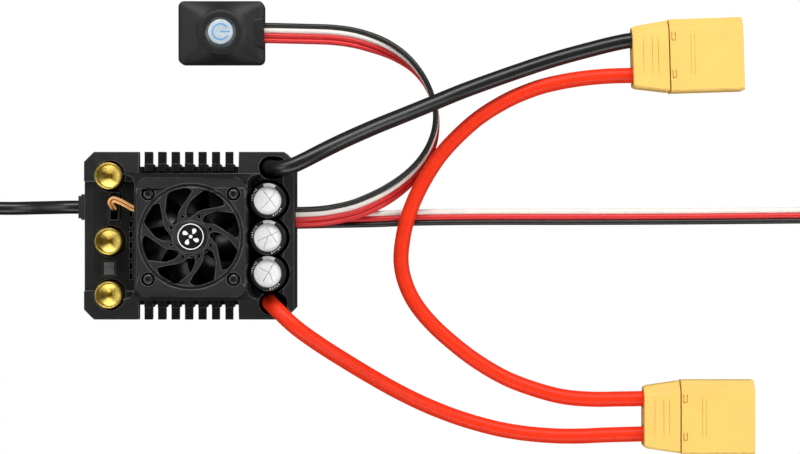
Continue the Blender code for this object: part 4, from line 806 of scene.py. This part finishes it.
def make_capacitors():
    """Cans with a scored vent in the top, its grooves in a darker painted shade, sleeves with a light
    band and tick marks.
    """
    scores = {  # lines of the vent score, as (angle, radius) ends
        1: (((115, 3.1), (320, 2.9)), ((50, 3.2), (318, 0.3)), ((230, 3.0), (318, 0.3))),
        2: (((100, 2.9), (330, 3.1)), ((30, 3.2), (200, 3.1)), ((250, 3.0), (100, 0.4))),
        3: (((60, 3.2), (240, 3.1)), ((150, 3.0), (20, 0.5)), ((300, 3.1), (20, 0.5))),
    }
    for number, lines in scores.items():
        x, y, top = middle(f"capacitor_can_{number}")
        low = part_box(f"capacitor_can_{number}")[0].z / MM
        sleeve_top = middle(f"capacitor_sleeve_{number}")[2]
        segments = []
        for ends in lines:
            segments.append([v for angle, radius in ends
                             for v in (radius * cos(radians(angle)), radius * sin(radians(angle)))])
        bm = bmesh.new()
        rows, sides, rings = [], 96, 34
        for k in range(rings + 1):
            radius = CAN_RADIUS * k / rings
            row = []
            for i in range(sides if k else 1):
                px, py = radius * cos(2 * pi * i / sides), radius * sin(2 * pi * i / sides)
                depth = 0.0
                for segment in segments:
                    away = distance_to(px, py, *segment)
                    depth = max(depth, 0.14 * max(0.0, 1.0 - away / 0.2))
                row.append(bm.verts.new(((x + px) * MM, (y + py) * MM, (top - depth) * MM)))
            rows.append(row)
        for inner, outer in zip(rows, rows[1:]):
            for i in range(sides):
                j = (i + 1) % sides
                if len(inner) == 1:
                    face = bm.faces.new((inner[0], outer[i], outer[j]))
                else:
                    face = bm.faces.new((inner[i], outer[i], outer[j], inner[j]))
                centre = face.calc_center_median() / MM
                near = min(distance_to(centre.x - x, centre.y - y, *s) for s in segments)
                # Faces along the score take the darker finish: painted shade in the grooves.
                face.material_index = 1 if near < 0.085 else 0
        base = [bm.verts.new((v.co.x, v.co.y, low * MM)) for v in rows[-1]]
        for i in range(sides):
            j = (i + 1) % sides
            bm.faces.new((rows[-1][i], base[i], base[j], rows[-1][j]))
        bm.faces.new(list(reversed(base)))
        place_piece(f"capacitor_body_{number}", mesh_of(bm, 50.0),
                    ["capacitor_aluminium", "score_groove_painted_shade"], "case", [f"capacitor_can_{number}"])

        bm = bmesh.new()
        profile = [(3.85, top + 0.08), (3.92, sleeve_top - 0.12), (4.1, sleeve_top),
                   (4.62, sleeve_top), (4.9, sleeve_top - 0.12), (5.06, sleeve_top - 0.4),
                   (SLEEVE_RADIUS, sleeve_top - 0.8), (SLEEVE_RADIUS, low + 1.0),
                   (4.75, low + 1.0),
                   (4.75, sleeve_top - 0.5), (3.95, sleeve_top - 0.5)]
        turned(bm, profile, x, y, 72, 0, closed=True)
        film = (sleeve_top - 0.06, sleeve_top + 0.03)
        arc_plate(bm, x, y, 4.02, 4.92, 60 + number, 104 + number, *film, 1)
        for start, count, step in ((134, 6, 8.5), (296 - 6 * number, 5, 9.0)):
            for k in range(count):
                angle = start + k * step
                arc_plate(bm, x, y, 4.16 + 0.1 * (k % 2), 4.74 - 0.12 * (k % 3), angle,
                          angle + 4.2, *film, 1, 3)
        place_piece(f"capacitor_jacket_{number}", mesh_of(bm), ["sleeve_film", "grey_print"],
                    "case", [f"capacitor_sleeve_{number}"])


def make_led_window():
    """A smoked window with shallow ribs."""
    low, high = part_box("led_window")
    (x0, y0, z0), (x1, y1, z1) = low / MM, high / MM
    bm = bmesh.new()
    slab(bm, x0, y0, x1, y1, z0, z1 - 0.15)
    ribs = 7
    pitch = (y1 - y0) / ribs
    for k in range(ribs):
        y = y0 + pitch * k
        slab(bm, x0, y + 0.06, x1, y + pitch - 0.06, z1 - 0.2, z1)
    place_piece("led_lens", mesh_of(bm), ["smoked_window"], "case", ["led_window"])


make_sockets()
make_capacitors()
make_led_window()


# ---------------------------------------------------------------- power switch
def make_switch():
    """The switch case with its base and cable block, and a button with a power sign."""
    x, y, _ = middle("switch_case")
    low, high = (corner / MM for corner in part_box("switch_case"))
    half_x, half_y = (high.x - low.x) / 2, (high.y - low.y) / 2
    boss_x, boss_y, _ = middle("switch_button")

    def plan(inset, z):
        """A ring of the case's outline at one height."""
        ring, radius = [], SWITCH_CORNER
        for sx, sy, start in ((1, 1, 0), (-1, 1, 90), (-1, -1, 180), (1, -1, 270)):
            cx, cy = x + sx * (half_x - radius), y + sy * (half_y - radius)
            ring += arc(cx, cy, radius - inset, start, start + 90, 8)
        ends = ring[1:] + ring[:1]
        dense = []
        for (ax, ay), (nx, ny) in zip(ring, ends):
            parts = max(1, round(hypot(nx - ax, ny - ay) / 1.2))
            dense += [(ax + (nx - ax) * k / parts, ay + (ny - ay) * k / parts)
                      for k in range(parts)]
        return [(px, py, z) for px, py in dense]

    def boss(radius, z):
        ring = []
        for px, py, _ in plan(0.0, z):
            turn = Vector((px - boss_x, py - boss_y)).normalized() * radius
            ring.append((boss_x + turn.x, boss_y + turn.y, z))
        return ring

    outline = plan(0.0, 0.0)
    rings = [plan(0.0, 1.8), plan(0.0, 6.7), plan(0.12, 7.05), plan(0.42, 7.3)]
    rim = plan(0.42, 7.3)
    for share in (0.25, 0.5, 0.75):
        rings.append([(a[0] + (b[0] - a[0]) * share, a[1] + (b[1] - a[1]) * share,
                       7.3 + 2.25 * share) for a, b in zip(rim, boss(6.7, 9.55))])
    rings += [boss(6.7, 9.55), boss(6.45, 9.8), boss(6.1, 9.94), boss(5.7, BOSS_TOP),
              boss(4.75, BOSS_TOP), boss(4.56, 9.94), boss(BUTTON_HOLE, 9.8),
              boss(BUTTON_HOLE, 8.6),
              boss(5.2, 8.5), boss(5.2, 6.4)]
    rings += [plan(SWITCH_WALL, 6.2), plan(SWITCH_WALL, 1.8)]
    bm = bmesh.new()
    rows = [[bm.verts.new(Vector(p) * MM) for p in ring] for ring in rings]
    for near, far in zip(rows, rows[1:] + rows[:1]):
        for i in range(len(outline)):
            j = (i + 1) % len(outline)
            bm.faces.new((near[i], near[j], far[j], far[i]))
    case = place_piece("switch_case_shell", mesh_of(bm, 30.0), ["switch_plastic"], "case",
                       ["switch_case"])
    base = refined("switch_base", 0.25, "switch_plastic", 3)
    bm = bmesh.new()
    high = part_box("switch_case")[1].x / MM
    low_ring = [(high - 4.6, y - 5.2), (high + 0.02, y - 5.2), (high + 0.02, y + 5.2),
                (high - 4.6, y + 5.2)]
    top_ring = [(high - 3.3, y - 3.6), (high - 0.1, y - 4.0), (high - 0.1, y + 4.0),
                (high - 3.3, y + 3.6)]
    lower = [bm.verts.new((px * MM, py * MM, 7.0 * MM)) for px, py in low_ring]
    upper = [bm.verts.new((px * MM, py * MM, 8.35 * MM)) for px, py in top_ring]
    bm.faces.new(upper)
    bm.faces.new(list(reversed(lower)))
    for i in range(4):
        j = (i + 1) % 4
        bm.faces.new((lower[i], lower[j], upper[j], upper[i]))
    bmesh.ops.recalc_face_normals(bm, faces=bm.faces)
    mesh = bpy.data.meshes.new("block")
    bm.to_mesh(mesh)
    bm.free()
    block = place_piece("switch_cable_block", modified(mesh, (), 0.3, 3), ["switch_plastic"])
    bx, by, top = middle("switch_button")
    bm = bmesh.new()
    turned(bm, [(0.0, top), (3.3, top), (3.54, top - 0.08), (3.66, top - 0.25),
                (BUTTON_RADIUS, top - 0.5), (BUTTON_RADIUS, 8.2), (BUTTON_FLANGE, 8.2),
                (BUTTON_FLANGE, 7.3), (0.0, 7.3)], bx, by, 72)
    arc_plate(bm, bx, by, 2.1, 2.5, 30, 330, top - 0.1, top + 0.03, 1, 40)
    slab(bm, bx - 0.1, by - 0.18, bx + 2.8, by + 0.18, top - 0.1, top + 0.03, 1)
    place_piece("power_button_cap", mesh_of(bm), ["button_resin", "blue_print"],
                "power_button", ["switch_button"])
    return [case, base, block]


SWITCH_PIECES = make_switch()


# ---------------------------------------------------------------- stage, light and camera
def make_stage():
    bm = bmesh.new()
    bmesh.ops.create_grid(bm, x_segments=1, y_segments=1, size=3.0)
    mesh = bpy.data.meshes.new("floor")
    bm.to_mesh(mesh)
    bm.free()
    material = bpy.data.materials.new("studio_floor")
    material.use_nodes = True
    nodes, links = material.node_tree.nodes, material.node_tree.links
    nodes.clear()
    out = nodes.new("ShaderNodeOutputMaterial")
    glow = nodes.new("ShaderNodeEmission")
    rays = nodes.new("ShaderNodeLightPath")
    level = nodes.new("ShaderNodeMapRange")
    level.inputs["To Min"].default_value = 0.22
    level.inputs["To Max"].default_value = 1.0
    links.new(rays.outputs["Is Camera Ray"], level.inputs["Value"])
    links.new(level.outputs["Result"], glow.inputs["Strength"])
    links.new(glow.outputs["Emission"], out.inputs["Surface"])
    mesh.materials.append(material)
    floor = bpy.data.objects.new("studio_floor", mesh)
    floor.location = (STAGE_X, 0.0, -0.0004)
    floor.visible_glossy = False
    bpy.context.scene.collection.objects.link(floor)


def make_world():
    world = bpy.data.worlds.new("studio")
    bpy.context.scene.world = world
    world.use_nodes = True
    nodes, links = world.node_tree.nodes, world.node_tree.links
    background = nodes["Background"]
    background.inputs["Color"].default_value = (1.0, 1.0, 1.0, 1.0)
    rays = nodes.new("ShaderNodeLightPath")
    level = nodes.new("ShaderNodeMapRange")
    level.inputs["To Min"].default_value = 0.06
    level.inputs["To Max"].default_value = 1.0
    links.new(rays.outputs["Is Camera Ray"], level.inputs["Value"])
    links.new(level.outputs["Result"], background.inputs["Strength"])


def softbox(name, power, tilt, distance, length, width, azimuth=0.0):
    """A long area light aimed at the object's middle, tilted from overhead about X."""
    light = bpy.data.lights.new(name, 'AREA')
    light.shape = 'RECTANGLE'
    light.size = length
    light.size_y = width
    light.energy = power
    lamp = bpy.data.objects.new(name, light)
    turn = Matrix.Rotation(radians(azimuth), 4, 'Z') @ Matrix.Rotation(radians(tilt), 4, 'X')
    lamp.matrix_world = (Matrix.Translation((STAGE_X, 0.0, 0.0)) @ turn
                         @ Matrix.Translation((0, 0, distance)))
    bpy.context.scene.collection.objects.link(lamp)


def make_camera():
    camera = bpy.data.cameras.new("camera")
    camera.sensor_width = 36.0
    camera.lens = 105.6
    camera.clip_start = 0.01
    camera.clip_end = 20.0
    eye = bpy.data.objects.new("camera", camera)
    eye.location = (0.0606, 0.0025, 0.696)
    bpy.context.scene.collection.objects.link(eye)
    bpy.context.scene.camera = eye


make_stage()
make_world()
softbox("softbox_back", 10.3, -53.0, 0.85, 1.5, 0.34)
softbox("softbox_front", 6.0, 53.0, 0.85, 1.5, 0.34)
softbox("softbox_left", 1.8, 50.0, 0.95, 0.7, 0.4, -90.0)
softbox("softbox_right", 2.6, 58.0, 0.95, 0.7, 0.3, 90.0)
make_camera()
bpy.context.scene.view_settings.view_transform = 'Standard'
